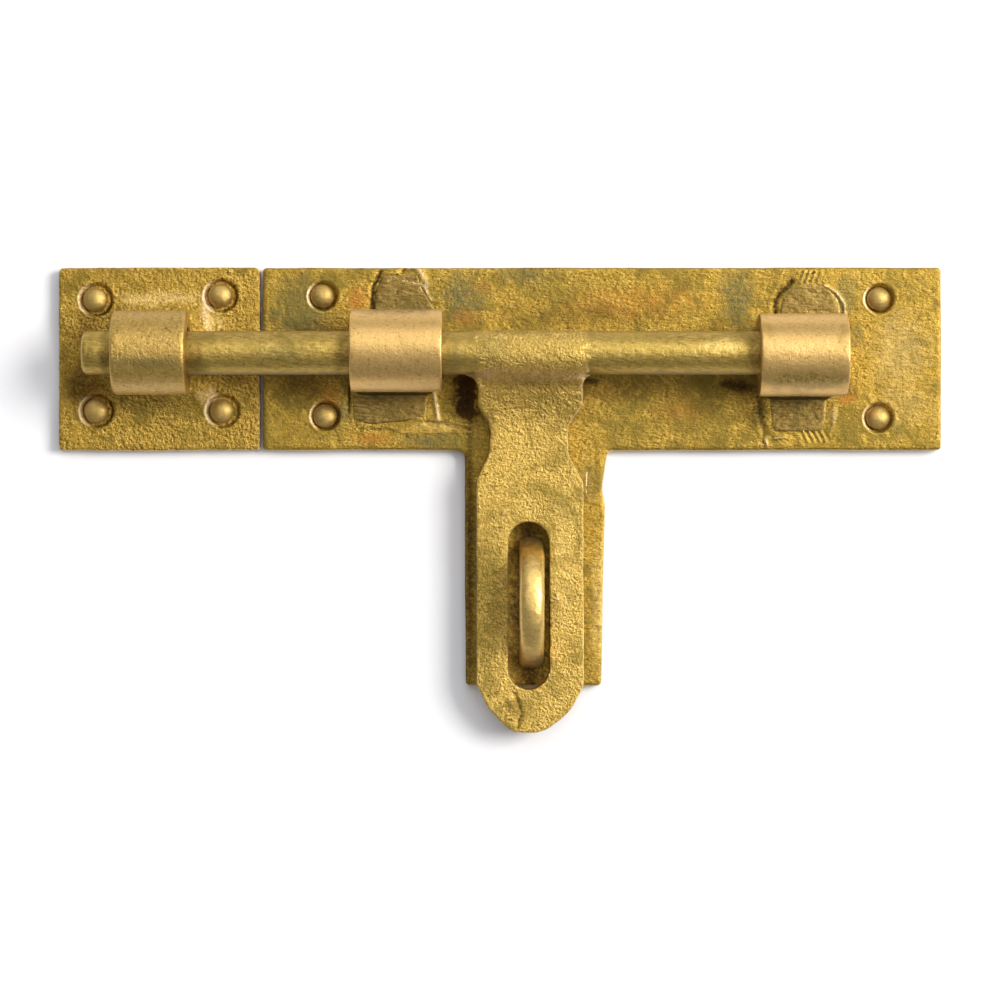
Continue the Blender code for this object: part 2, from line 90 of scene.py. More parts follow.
class Signal:
    """A shader socket that takes part in Python arithmetic: every operator adds one Math node."""

    def __init__(self, graph: Graph, socket: bpy.types.NodeSocket | None) -> None:
        """Wraps a socket of a graph."""
        self.graph = graph
        self.socket = socket

    def _math(self, operation: str, *values: Signal | float) -> Signal:
        """Adds a Math node over the given values."""
        return self.graph.node("ShaderNodeMath", {"operation": operation}, dict(enumerate(values)))

    def __add__(self, other: Signal | float) -> Signal:
        """Sum."""
        return self._math("ADD", self, other)

    __radd__ = __add__

    def __sub__(self, other: Signal | float) -> Signal:
        """Difference."""
        return self._math("SUBTRACT", self, other)

    def __rsub__(self, other: float) -> Signal:
        """Reflected difference, so that 1 - mask works."""
        return self._math("SUBTRACT", other, self)

    def __mul__(self, other: Signal | float) -> Signal:
        """Product."""
        return self._math("MULTIPLY", self, other)

    __rmul__ = __mul__

    def largest(self, other: Signal | float) -> Signal:
        """The larger of two values."""
        return self._math("MAXIMUM", self, other)

    def ramp(self, low: float, high: float) -> Signal:
        """A smooth step from 0 at low to 1 at high; low above high turns it round."""
        settings = {"interpolation_type": "SMOOTHSTEP", "clamp": True}
        flip = low > high
        first, last = (high, low) if flip else (low, high)
        values = {"Value": self, "From Min": first, "From Max": last}
        values |= {"To Min": 1.0, "To Max": 0.0} if flip else {"To Min": 0.0, "To Max": 1.0}
        return self.graph.node("ShaderNodeMapRange", settings, values, "Result")


class Graph:
    """The node tree of a material or a world, with one method for any node and short ones for common uses."""

    def __init__(self, owner: bpy.types.Material | bpy.types.World) -> None:
        """Takes over the owner's tree and clears it."""
        owner.use_nodes = True
        self.tree = owner.node_tree
        self.tree.nodes.clear()
        self._made: dict[tuple, Signal] = {}

    def node(self, kind: str, settings: dict | None = None, values: dict | None = None,
             output: str | int = 0) -> Signal:
        """Adds a node.

        Args:
            kind: The node's type name.
            settings: Properties set before its sockets, such as a Math node's operation.
            values: Socket name or index to a number, a colour or a Signal.
            output: The output that is wanted.

        Returns:
            That output, or an empty Signal from a node that has none.
        """
        made = self.tree.nodes.new(kind)
        for key, value in (settings or {}).items():
            setattr(made, key, value)
        for key, value in (values or {}).items():
            socket = made.inputs[key]
            if isinstance(value, Signal):
                self.tree.links.new(value.socket, socket)
            elif isinstance(value, tuple) and len(value) == 3 and socket.type == "RGBA":
                socket.default_value = (*value, 1.0)
            else:
                socket.default_value = value
        return Signal(self, made.outputs[output] if made.outputs else None)

    def vector(self, operation: str, *values: Signal | Sequence[float], output: str = "Vector") -> Signal:
        """Adds a Vector Math node over the given values."""
        return self.node("ShaderNodeVectorMath", {"operation": operation}, dict(enumerate(values)), output)

    def once(self, key: tuple, make: Callable[[], Signal]) -> Signal:
        """Makes a signal the first time that its key is asked for, and reuses it after that."""
        if key not in self._made:
            self._made[key] = make()
        return self._made[key]

    def source(self) -> Signal:
        """Object coordinates, in metres."""
        return self.once(("source",), lambda: self.node("ShaderNodeTexCoord", output="Object"))

    def place(self, stretch: Sequence[float] = EVEN) -> Signal:
        """Object coordinates in millimetres, stretched along each axis."""
        scale = tuple(part / MM for part in stretch)
        return self.once(("place", *scale), lambda: self.vector("MULTIPLY", self.source(), scale))

    def noise(self, size: float, detail: float = 3.0, stretch: Sequence[float] = EVEN, rough: float = 0.55,
              distort: float = 0.0, shift: Sequence[float] | None = None) -> Signal:
        """Noise from 0 to 1 whose features are about size millimetres across.

        Args:
            size: The size of its features.
            detail: How many finer layers it has.
            stretch: How the pattern is drawn out along each axis; less than 1 makes it longer.
            rough: How strong the finer layers are.
            distort: How far the pattern is bent.
            shift: How far the pattern is moved, in millimetres.

        Returns:
            The noise, made once for each set of values.
        """

        def make() -> Signal:
            """Adds its nodes."""
            spot = self.vector("ADD", self.place(stretch), shift) if shift else self.place(stretch)
            values = {"Vector": spot, "Scale": 1.0 / size, "Detail": detail, "Roughness": rough,
                      "Distortion": distort}
            return self.node("ShaderNodeTexNoise", {}, values, "Fac")

        return self.once(("noise", size, detail, *stretch, rough, distort, shift), make)

    def flank(self, size: float, stretch: Sequence[float] = EVEN) -> Signal:
        """Which side of its bumps a grain shows: over 0.5 on flanks that face up and right, else under it; it
        places painted highlight and painted shade on the bumps.
        """
        step = tuple(part * size * FLANK_STEP for part in FLANK_LEAN)
        before, after = (self.noise(size, 4.0, stretch, 0.6, 0.4, tuple(sign * part for part in step))
                         for sign in (-1.0, 1.0))
        return before - after + 0.5

    def painted(self, name: str) -> Signal:
        """A number painted on the mesh's points, 0 where nothing was painted."""
        settings = {"attribute_name": name, "attribute_type": "GEOMETRY"}
        return self.node("ShaderNodeAttribute", settings, output="Fac")

    def cells(self, size: float) -> Signal:
        """Distance to the nearest of scattered points about size millimetres apart, in those units."""
        values = {"Vector": self.place(), "Scale": 1.0 / size}
        return self.node("ShaderNodeTexVoronoi", {"feature": "F1"}, values, "Distance")

    def edge(self) -> Signal:
        """Pointiness: about 0.5 on a flat, more on an edge, less in a hollow."""
        return self.node("ShaderNodeNewGeometry", output="Pointiness")

    def dab(self, centre: Point, reach: Point) -> Signal:
        """A soft patch on the face of the latch, 1 in its middle, with a ragged rim.

        Args:
            centre: Its middle, in millimetres.
            reach: Half its width and half its height.

        Returns:
            The patch as a mask.
        """
        moved = self.vector("SUBTRACT", self.source(), (centre[0] * MM, centre[1] * MM, 0.0))
        sized = self.vector("MULTIPLY", moved, (1 / reach[0] / MM, 1 / reach[1] / MM, 0.0))
        away = self.vector("LENGTH", sized, output="Value")
        wobble = self.noise(2.6, 5.0, rough=0.65) * (2.0 * DAB_RAGGED)
        return (away + wobble).ramp(1.0 + DAB_RAGGED, 0.3 + DAB_RAGGED)

    def blend(self, first: Signal | Colour, second: Signal | Colour, share: Signal | float) -> Signal:
        """Mixes two colours."""
        settings = {"data_type": "RGBA", "blend_type": "MIX", "clamp_factor": True}
        return self.node("ShaderNodeMix", settings, {0: share, 6: first, 7: second}, 2)

    def layered(self, colour: Signal | Colour, layers: Iterable[tuple[Colour, Signal]]) -> Signal:
        """Lays colours over a first one in turn, each by its own mask."""
        for tone, mask in layers:
            colour = self.blend(colour, tone, mask)
        return colour

    def bump(self, height: Signal, depth: float, after: Signal | None = None) -> Signal:
        """Turns a height from 0 to 1 into a normal, for a relief of depth millimetres."""
        values: dict = {"Strength": 1.0, "Distance": depth * MM, "Height": height}
        if after:
            values["Normal"] = after
        return self.node("ShaderNodeBump", {}, values, "Normal")

    def finish(self, **values: Signal | float | Colour) -> None:
        """Adds the Principled shader with these sockets, and the output."""
        named = {key.replace("_", " ").title(): value for key, value in values.items()}
        shader = self.node("ShaderNodeBsdfPrincipled", {}, named, "BSDF")
        self.node("ShaderNodeOutputMaterial", {}, {"Surface": shader})


FLANK_STEP = 0.22  # between the two samples that tell a bump's flanks apart, as a share of its size
FLANK_LEAN = (0.85, 0.53, 0.0)  # the way that flanks with painted highlight face, towards the light at the upper right
DAB_RAGGED = 1.7 * 0.45  # how far noise eats into a patch


# ------------------------------------------------------------------ finishes


class Surface(Enum):
    """How a piece of brass was worked, which sets its finest relief."""

    CAST = "cast"
    FILED = "filed"
    TURNED = "turned"
    RUBBED = "rubbed_and_flank_light"


# how the finest marks are drawn out along each axis
GRAIN_RUN = {
    Surface.CAST: EVEN, Surface.FILED: (0.55, 1.0, 1.0), Surface.TURNED: (0.5, 1.0, 1.0),
    Surface.RUBBED: (0.25, 1.0, 1.0),
}


@dataclass(frozen=True)
class StainAndLight:
    """A patch of colour that has its own place on the latch: a real stain, or a painted shadow, highlight or
    reflection.
    """

    colour: Colour
    centre: Point
    reach: Point
    strength: float


@dataclass(frozen=True)
class Brass:
    """A finish of the brass: its tones, how it was worked, where it has tarnished, and where light and shade
    are painted on it.
    """

    name: str
    surface: Surface
    body: Colour
    bright: Colour
    olive: Colour
    umber: Colour
    roughness: float
    grain: float  # size of the surface's grain, mm
    relief: float  # depth of that grain, mm
    lumps: float = 0.25  # depth of the lumps under the grain, mm
    tarnish: float = 0.5
    speckle: float = 0.3
    contrast: float = 1.0
    flank_size: float = 0.6  # size of the bumps whose flanks get painted highlight and painted shade, mm
    rubbed_and_flank_light: float = 0.2  # how strongly those flanks are painted
    stains_and_light: tuple[StainAndLight, ...] = ()

    def grain_of(self, graph: Graph) -> Signal:
        """The finest relief, from 0 to 1: lines along the work, mixed with pits."""
        if self.surface is Surface.CAST:
            return graph.noise(self.grain, 6.0, rough=0.66, distort=0.5)
        if self.surface is Surface.FILED:
            lines = graph.noise(self.grain, 4.0, (0.16, 1.0, 0.3), rough=0.62)
            return lines * 0.35 + graph.noise(self.grain * 1.25, 6.0, rough=0.68, distort=0.5) * 0.65
        if self.surface is Surface.TURNED:
            rings = graph.noise(self.grain, 3.0, (1.0, 0.10, 0.10), rough=0.6)
            return rings * 0.3 + graph.noise(self.grain * 1.3, 5.0, rough=0.6) * 0.7
        lines = graph.noise(self.grain, 4.0, (0.28, 1.0, 1.0), rough=0.6)
        return lines * 0.35 + graph.noise(self.grain * 1.2, 6.0, rough=0.68) * 0.65

    def tones(self, graph: Graph, grain: Signal, dull: Signal, hollow: Signal) -> Signal:
        """The colours that the grain, the tarnish, the painted highlight and shade on the grain's flanks, and
        the hollows' dark patina with its painted shade give, before the patches of stain and painted light.
        """
        speck = graph.noise(0.9, 4.0, rough=0.7)
        pits = graph.cells(1.15).ramp(0.22, 0.05) * graph.noise(3.0, 2.0).ramp(0.46, 0.60)
        flank = graph.flank(self.flank_size, GRAIN_RUN[self.surface])
        rubbed_and_flank_light = (graph.noise(19.0, 2.0).ramp(0.40, 0.58) * 0.6 + 0.55) * self.rubbed_and_flank_light
        return graph.layered(self.body, (
            (self.bright, grain.ramp(0.50, 0.62) * (0.45 * self.contrast)),
            (self.umber, grain.ramp(0.45, 0.34) * (0.55 * self.contrast)),
            (self.umber, speck.ramp(0.42, 0.32) * (0.8 * self.contrast)),
            # painted highlight on flanks that face up and right, painted shade on the others
            (self.bright, flank.ramp(0.515, 0.60) * rubbed_and_flank_light),
            (self.umber, flank.ramp(0.475, 0.38) * rubbed_and_flank_light),
            (self.olive, dull * (0.5 + grain * 0.6)),
            (self.umber, hollow * 0.85),
            (self.umber, pits * self.speckle),
        ))

    def build(self) -> bpy.types.Material:
        """Makes the material.

        Returns:
            The finished material.
        """
        material = bpy.data.materials.new(self.name)
        graph = Graph(material)
        grain = self.grain_of(graph)
        mottle = graph.noise(4.2, 5.0, distort=0.6)
        cloud = graph.noise(15.0, 4.0, (1.0, 1.25, 1.0), distort=0.4)
        edge = graph.edge()
        # worn edges come out brighter; hollows get dark patina, which also stands in for painted shade there
        worn, hollow = edge.ramp(0.515, 0.60), edge.ramp(0.49, 0.42)
        dull = (cloud * 0.5 + mottle * 0.5).ramp(0.62 - 0.3 * self.tarnish, 0.78 - 0.25 * self.tarnish)
        tone, calm = graph.painted("tone"), graph.painted("calm")
        fleck = graph.noise(1.3, 5.0, rough=0.7).ramp(0.36, 0.60)
        broken = grain.ramp(0.40, 0.60) * 0.55 + fleck * 0.45 + 0.1
        stains_and_light = [(colour_patch, graph.dab(colour_patch.centre, colour_patch.reach) * colour_patch.strength) for colour_patch in self.stains_and_light]
        colour = graph.layered(self.tones(graph, grain, dull, hollow), (
            # patches of stain, and of painted shadow, highlight and reflection
            *((colour_patch.colour, mask * broken) for colour_patch, mask in stains_and_light),
            (ROOT, calm * 0.9),
            (self.bright, worn * 0.75),
            # painted highlight where the painted tone is above 0 and painted shade where it is below
            (PALE_HIGHLIGHT, tone.ramp(0.08, 0.75) * 0.85),
            (DEEP_SHADE, (tone * -1.0).ramp(0.12, 0.85) * 0.9),
        ))
        if stains_and_light:
            dull = dull.largest(reduce(Signal.largest, [mask for _, mask in stains_and_light]) * 0.7)
        rough = grain * 0.15 + dull * 0.10 + hollow * 0.15 + (self.roughness - 0.08) - worn * 0.10
        lumps = mottle * 0.55 + graph.noise(1.7, 4.0, rough=0.6) * 0.45
        rest = 1.0 - calm * 0.75
        normal = graph.bump(grain * rest, self.relief, graph.bump(lumps * rest, self.lumps))
        graph.finish(base_color=colour, metallic=1.0 - dull * 0.12 - hollow * 0.15, roughness=rough,
                     normal=normal)
        return material


TEAL: Colour = (0.135, 0.125, 0.050)
COPPER: Colour = (0.46, 0.165, 0.028)
BROWN: Colour = (0.105, 0.050, 0.009)
# dark colour for painted shade and painted shadow
DEEP_SHADE: Colour = (0.030, 0.012, 0.004)
MOSS: Colour = (0.052, 0.046, 0.010)
STRAW: Colour = (0.76, 0.54, 0.165)
SAND: Colour = (0.50, 0.345, 0.115)
# colour for painted highlight
PALE_HIGHLIGHT: Colour = (0.90, 0.68, 0.38)
# pinkish colour for painted highlight and painted reflection
PINK_SHEEN: Colour = (0.60, 0.42, 0.20)
OLIVE: Colour = (0.20, 0.145, 0.026)
# grey for the painted reflection of the white table
GREY_REFLECTION: Colour = (0.36, 0.28, 0.17)
ROOT: Colour = (0.49, 0.337, 0.084)

PLATE = Brass(
    "plate_brass", Surface.FILED, (0.362, 0.223, 0.032), (0.66, 0.45, 0.112), (0.190, 0.135, 0.021),
    (0.080, 0.044, 0.007), 0.42, 0.52, 0.27, lumps=0.32, tarnish=0.62, speckle=0.9, contrast=1.15,
    flank_size=0.52, rubbed_and_flank_light=0.46,
    stains_and_light=(
        StainAndLight(TEAL, (-52, 9), (9, 12), 0.85), StainAndLight(COPPER, (-39, 12.5), (3.4, 5), 0.65),
        StainAndLight(BROWN, (-52, -7), (9, 6), 0.75), StainAndLight(TEAL, (-42.5, -13), (3, 4), 0.7),
        StainAndLight(COPPER, (-36, -19), (6, 1.8), 0.65), StainAndLight(TEAL, (-22, -19.5), (10, 2.2), 0.9),
        StainAndLight(STRAW, (-21, -16), (9, 1.5), 0.45), StainAndLight(COPPER, (-45, -9.5), (3, 3.4), 0.6),
        # second patch: dark patina and painted shadow left of the hasp's neck
        StainAndLight(TEAL, (-36, 4), (5, 5), 0.6), StainAndLight(MOSS, (-17.5, -11.5), (4.6, 5), 0.7),
        StainAndLight(OLIVE, (-16, -20), (8, 3), 0.7), StainAndLight(COPPER, (-11.5, 15.5), (4, 2), 0.45),
        StainAndLight(OLIVE, (38, -14), (16, 4), 0.45), StainAndLight(BROWN, (50.5, -12), (3.6, 7), 0.6),
        StainAndLight(OLIVE, (10, 15), (18, 4), 0.35), StainAndLight(BROWN, (72, -7.5), (3, 4), 0.5),
        StainAndLight(OLIVE, (60, 15), (9, 5), 0.5), StainAndLight(OLIVE, (-53, 12), (8, 7), 0.45),
        StainAndLight(BROWN, (-45, 5.8), (11, 3.2), 0.5), StainAndLight(OLIVE, (-50, -17.5), (9, 3.6), 0.45),
        StainAndLight(TEAL, (-15, 13), (7, 8), 0.9), StainAndLight(COPPER, (-14.5, 8.5), (4, 3), 0.5),
        StainAndLight(TEAL, (-1, 18), (9, 3), 0.7), StainAndLight(BROWN, (14, 9), (26, 4), 0.45),
        # second patch: brown tarnish and painted shadow below the bolt
        StainAndLight(COPPER, (24, 12), (22, 5), 0.34), StainAndLight(BROWN, (22, -8), (24, 3.6), 0.6),
        StainAndLight(COPPER, (34, -12.5), (8, 3), 0.35), StainAndLight(TEAL, (47, 13), (5.5, 9), 0.95),
        # second patch: painted shadow of the right guide and the bolt
        StainAndLight(TEAL, (71.5, 13), (4, 6.5), 0.8), StainAndLight(DEEP_SHADE, (47, -7), (5.5, 2.6), 0.85),
        StainAndLight(MOSS, (52, -13.5), (2.6, 5.2), 0.9), StainAndLight(COPPER, (71.5, -10), (2.6, 2.2), 0.65),
        # first patch: painted highlight on the lit right side of the lower right foot
        StainAndLight(PINK_SHEEN, (68.9, -13.5), (1.3, 2.6), 0.6), StainAndLight(TEAL, (74, 4.5), (2.4, 3.5), 0.5),
        StainAndLight(SAND, (84, 1), (9, 13), 0.6), StainAndLight(SAND, (84, -12), (10, 7), 0.4),
        # painted shadow of the hasp's neck, and of the hasp down the left of the stem
        StainAndLight(DEEP_SHADE, (-14.6, -8.8), (3.6, 7), 1), StainAndLight(DEEP_SHADE, (-13.4, -45), (1.5, 34), 0.75),
        # second patch: painted highlight on the lit strip of the stem right of the hasp
        StainAndLight(TEAL, (13.5, -29), (3, 6), 0.5), StainAndLight(STRAW, (15.6, -57), (2.4, 17), 0.55),
        # painted shade on the slot floor under the hasp's leaf
        StainAndLight(DEEP_SHADE, (-1.6, -56), (4.4, 20), 0.9),
    ),
)
CAST = Brass(
    "cast_brass", Surface.CAST, (0.400, 0.242, 0.034), (0.74, 0.505, 0.130), (0.210, 0.142, 0.019),
    (0.075, 0.040, 0.005), 0.40, 0.60, 0.36, lumps=0.48, tarnish=0.50, speckle=0.9, contrast=1.15,
    flank_size=0.68, rubbed_and_flank_light=0.60,
)
KEEPER_CAST = replace(
    CAST, name="keeper_cast_brass", stains_and_light=(
        # first patch: brown tarnish and painted shadow below and left of the bolt's nose
        StainAndLight(BROWN, (-101, -7), (5.4, 9), 1), StainAndLight(BROWN, (-100.5, 7), (3.6, 6), 0.6),
        # painted highlights on the pad's upper and right slopes
        StainAndLight(STRAW, (-84.5, 12.8), (11, 2.6), 0.75), StainAndLight(STRAW, (-71.5, 7.5), (3.2, 5), 0.7),
        # painted highlights on the pad's right slope
        StainAndLight(PINK_SHEEN, (-73.6, 8.4), (1.5, 2.8), 0.7), StainAndLight(PINK_SHEEN, (-73.4, -9.4), (2.4, 2.2), 0.75),
        StainAndLight(OLIVE, (-84, -12.4), (10, 2.2), 0.6), StainAndLight(BROWN, (-67, -4), (5, 4.5), 0.5),
        StainAndLight(COPPER, (-98.5, -8.5), (2.6, 2.6), 0.3),
    ),
)
HASP_CAST = replace(
    CAST, name="hasp_cast_brass", body=(0.550, 0.360, 0.074), bright=(0.86, 0.61, 0.20),
    olive=(0.300, 0.208, 0.036), umber=(0.150, 0.085, 0.012), flank_size=0.6,
    rubbed_and_flank_light=0.42, stains_and_light=(
        StainAndLight(BROWN, (0, -7.2), (15, 3), 0.4), StainAndLight(OLIVE, (-9.6, -56), (4.4, 28), 0.9),
        StainAndLight(BROWN, (-9, -19), (3, 8), 0.35), StainAndLight(STRAW, (7.5, -48), (3.5, 22), 0.4),
        StainAndLight(BROWN, (-3, -80), (6, 3.4), 0.35), StainAndLight(TEAL, (-9, 0), (6, 5), 0.5),
        # second patch: painted reflection of the white table under the head's left corner
        StainAndLight(ROOT, (0, 0.5), (21, 5.4), 0.6), StainAndLight(GREY_REFLECTION, (-11, -5), (3, 1.6), 0.7),
    ),
)
BARREL = Brass(
    "barrel_brass", Surface.TURNED, (0.68, 0.435, 0.148), (0.84, 0.585, 0.235), (0.38, 0.245, 0.058),
    (0.150, 0.080, 0.020), 0.42, 0.42, 0.10, lumps=0.18, tarnish=0.2, speckle=0.75, contrast=0.55,
    rubbed_and_flank_light=0.13,
    stains_and_light=(
        StainAndLight(BROWN, (-29.8, 9.4), (13, 1.7), 0.75), StainAndLight(OLIVE, (60.8, -6.4), (13, 3.4), 1),
        StainAndLight(BROWN, (60.8, 4.4), (13, 2.6), 0.16), StainAndLight(TEAL, (-84.7, -2.6), (12, 1.8), 0.6),
        # pinkish patches on this line and the next: painted reflection of the white table along the barrels'
        # undersides
        StainAndLight(PINK_SHEEN, (-29.8, -7.6), (13, 1.8), 0.5), StainAndLight(PINK_SHEEN, (-84.7, -7.5), (12, 2.2), 0.5),
        StainAndLight(PINK_SHEEN, (60.8, -7.8), (13, 2), 0.4),
    ),
)
SLEEVE = replace(
    BARREL, name="sleeve_brass", body=(0.50, 0.322, 0.083), bright=(0.70, 0.485, 0.165), relief=0.22,
    lumps=0.34, contrast=0.85, rubbed_and_flank_light=0.30,
)
BOLT = Brass(
    "bolt_brass", Surface.RUBBED, (0.46, 0.312, 0.070), (0.72, 0.52, 0.17), (0.25, 0.175, 0.033),
    (0.105, 0.065, 0.014), 0.42, 0.46, 0.16, lumps=0.30, tarnish=0.5, speckle=0.6, contrast=0.7, rubbed_and_flank_light=0.28,
    stains_and_light=(
        StainAndLight(STRAW, (43, 1.5), (6.5, 2.4), 0.9), StainAndLight(BROWN, (49.5, 0), (2, 6), 0.6),
        StainAndLight(BROWN, (-41.5, 0), (3, 6), 0.6), StainAndLight(BROWN, (-74.5, -1), (2.6, 6), 0.6),
        # first patch: painted shade at the mouth of the keeper's sleeve, where the bolt goes in
        StainAndLight(DEEP_SHADE, (-94.4, 0), (1.8, 6), 0.7), StainAndLight(MOSS, (-97.6, 1), (1.6, 2.8), 0.5),
        StainAndLight(TEAL, (-17, -1), (4, 4), 0.5), StainAndLight(TEAL, (-56, 0), (8, 3), 0.4),
        # painted reflection of the white table along the bolt's underside
        StainAndLight(GREY_REFLECTION, (-45, -4.7), (50, 0.8), 0.8), StainAndLight(GREY_REFLECTION, (35, -4.7), (22, 0.8), 0.8),
    ),
)
STAPLE = Brass(
    "staple_brass", Surface.RUBBED, (0.72, 0.495, 0.155), (0.90, 0.68, 0.30), (0.44, 0.30, 0.08),
    (0.15, 0.08, 0.03), 0.40, 0.60, 0.06, lumps=0.20, tarnish=0.3, speckle=0.3, contrast=0.5, rubbed_and_flank_light=0.10,
    # first patch: painted reflection of the white table on the staple's lower end
    stains_and_light=(StainAndLight(PINK_SHEEN, (0.4, -69), (4, 3), 0.7), StainAndLight(BROWN, (0.4, -71.5), (4, 2), 0.5)),
)
SADDLE = Brass(
    "saddle_brass", Surface.RUBBED, (0.245, 0.160, 0.040), (0.43, 0.297, 0.100), (0.150, 0.112, 0.028),
    (0.080, 0.045, 0.010), 0.42, 0.55, 0.18, lumps=0.30, tarnish=0.45, speckle=0.4, contrast=0.8, rubbed_and_flank_light=0.40,
    # painted shade on the saddles just under each barrel
    stains_and_light=(StainAndLight(MOSS, (-31, -8.5), (12, 2.6), 0.6), StainAndLight(MOSS, (60.5, -10), (9, 2.4), 0.6)),
)
NAIL = Brass(
    "nail_brass", Surface.RUBBED, (0.55, 0.375, 0.115), (0.78, 0.56, 0.24), (0.34, 0.235, 0.06),
    (0.16, 0.095, 0.022), 0.56, 0.7, 0.14, lumps=0.24, tarnish=0.35, speckle=0.2, contrast=0.5, rubbed_and_flank_light=0.12,
)


# ------------------------------------------------------------------ mesh work


@dataclass(frozen=True)
class Corner:
    """A corner of an outline, in millimetres, with the radius that rounds it."""

    x: float
    y: float
    radius: float = 0.0


def shell_of(corners: Iterable[Corner], slot: tuple[float, ...] = ()) -> bmesh.types.BMesh:
    """A flat outline with rounded corners, and a round-ended slot if one is given.

    Args:
        corners: The outline's corners in order.
        slot: The slot's middle x, its radius, and the y of its two end centres.

    Returns:
        A bmesh of one filled face or of triangles, in millimetres, at height 0.
    """
    bm = bmesh.new()
    corners = list(corners)
    verts = [bm.verts.new((corner.x, corner.y, 0.0)) for corner in corners]
    bm.faces.new(verts)
    for vert, corner in zip(verts, corners):
        if corner.radius:
            first, last = [(edge.other_vert(vert).co - vert.co) for edge in vert.link_edges]
            reach = corner.radius / math.tan(first.angle(last) / 2)
            reach = min(reach, first.length * 0.9, last.length * 0.9)
            bmesh.ops.bevel(bm, geom=[vert], offset=reach, offset_type="OFFSET", segments=6, profile=0.5,
                            affect="VERTICES", material=-1)
    if slot:
        x, radius, low, high = slot
        bmesh.ops.delete(bm, geom=bm.faces[:], context="FACES_ONLY")
        for vert in bmesh.ops.create_circle(bm, segments=40, radius=radius, cap_ends=False)["verts"]:
            vert.co = Vector((vert.co.x + x, vert.co.y + (high if vert.co.y > 0 else low), 0.0))
        bmesh.ops.triangle_fill(bm, use_beauty=True, use_dissolve=False, edges=bm.edges[:], normal=(0, 0, 1))
    return bm


def rectangle(left: float, right: float, low: float, high: float, radii: Sequence[float]) -> list[Corner]:
    """A rectangle, anticlockwise from its upper left corner, with a radius for each corner."""
    places = ((left, high), (left, low), (right, low), (right, high))
    return [Corner(x, y, radius) for (x, y), radius in zip(places, radii)]


def draw_out(bm: bmesh.types.BMesh, faces: Sequence[bmesh.types.BMFace], along: Sequence[float]) -> None:
    """Extrudes faces and moves the new ones along a vector."""
    raised = bmesh.ops.extrude_face_region(bm, geom=faces)["geom"]
    moved = [item for item in raised if isinstance(item, bmesh.types.BMVert)]
    bmesh.ops.translate(bm, verts=moved, vec=along)


def prism(points: Iterable[Sequence[float]], along: Sequence[float]) -> bmesh.types.BMesh:
    """A flat face through points in space, drawn out along a vector."""
    bm = bmesh.new()
    draw_out(bm, [bm.faces.new([bm.verts.new(point) for point in points])], along)
    bmesh.ops.recalc_face_normals(bm, faces=bm.faces[:])
    return bm


def raise_shell(bm: bmesh.types.BMesh, bottom: float, top: float, top_round: float,
                bottom_round: float = 0.0) -> bmesh.types.BMesh:
    """Gives a flat outline its thickness and rounds its two rims."""
    bmesh.ops.translate(bm, verts=bm.verts, vec=(0, 0, bottom))
    draw_out(bm, bm.faces[:], (0, 0, top - bottom))
    bmesh.ops.recalc_face_normals(bm, faces=bm.faces[:])
    for height, width in ((top, top_round), (bottom, bottom_round)):
        if width:
            rim = [edge for edge in bm.edges if all(abs(vert.co.z - height) < 1e-4 for vert in edge.verts)
                   and edge.calc_face_angle(0.0) > 1.0]
            bmesh.ops.bevel(bm, geom=rim, offset=width, offset_type="OFFSET", segments=3, profile=0.5,
                            affect="EDGES", material=-1, clamp_overlap=True)
    return bm


def turned(profile: Sequence[Point], steps: int, closed: bool = False) -> bmesh.types.BMesh:
    """Spins a (radius, along) profile about X.

    Args:
        profile: Points in millimetres, from one end to the other.
        steps: Steps of the full turn.
        closed: True for a ring, whose last point joins the first.

    Returns:
        The turned shape in millimetres, centred on the X axis.
    """
    bm = bmesh.new()
    verts = [bm.verts.new((along, 0.0, radius)) for radius, along in profile]
    pairs = list(zip(verts, verts[1:])) + ([(verts[-1], verts[0])] if closed else [])
    edges = [bm.edges.new(pair) for pair in pairs]
    bmesh.ops.spin(bm, geom=verts + edges, cent=(0, 0, 0), axis=(1, 0, 0), angle=2 * math.pi, steps=steps,
                   use_merge=True, use_duplicate=False)
    bmesh.ops.remove_doubles(bm, verts=bm.verts[:], dist=1e-4)
    bmesh.ops.recalc_face_normals(bm, faces=bm.faces[:])
    return bm


def join(*shells: bmesh.types.BMesh) -> bmesh.types.BMesh:
    """Puts several closed shells into one bmesh, for a skin to be drawn over them."""
    whole = shells[0]
    for other in shells[1:]:
        mesh = bpy.data.meshes.new("joined")
        other.to_mesh(mesh)
        other.free()
        whole.from_mesh(mesh)
        bpy.data.meshes.remove(mesh)
    return whole


def clouds(size: float) -> bpy.types.Texture:
    """A cloudy texture for displacement, its features about size millimetres across."""
    name = f"clouds_{size:g}"
    texture = bpy.data.textures.get(name) or bpy.data.textures.new(name, "CLOUDS")
    texture.noise_scale = size * MM
    texture.noise_depth = 2
    return texture


def clamped(share: float) -> float:
    """A share held between 0 and 1."""
    return max(0.0, min(1.0, share))


def bell(away: float, width: float) -> float:
    """A soft hump, 1 in its middle and nearly gone at twice its width."""
    return math.exp(-((away / width) ** 2))


RIM_LEVEL, RIM_SPAN = 0.88, 0.35  # how upright a normal is where a rim begins, and how fast it becomes one
RIM_SHADE, RIM_LOWER = 0.6, 0.4  # painted shade on rims that face left, and painted highlight on those that face down
SHARP_ANGLE = math.radians(50)


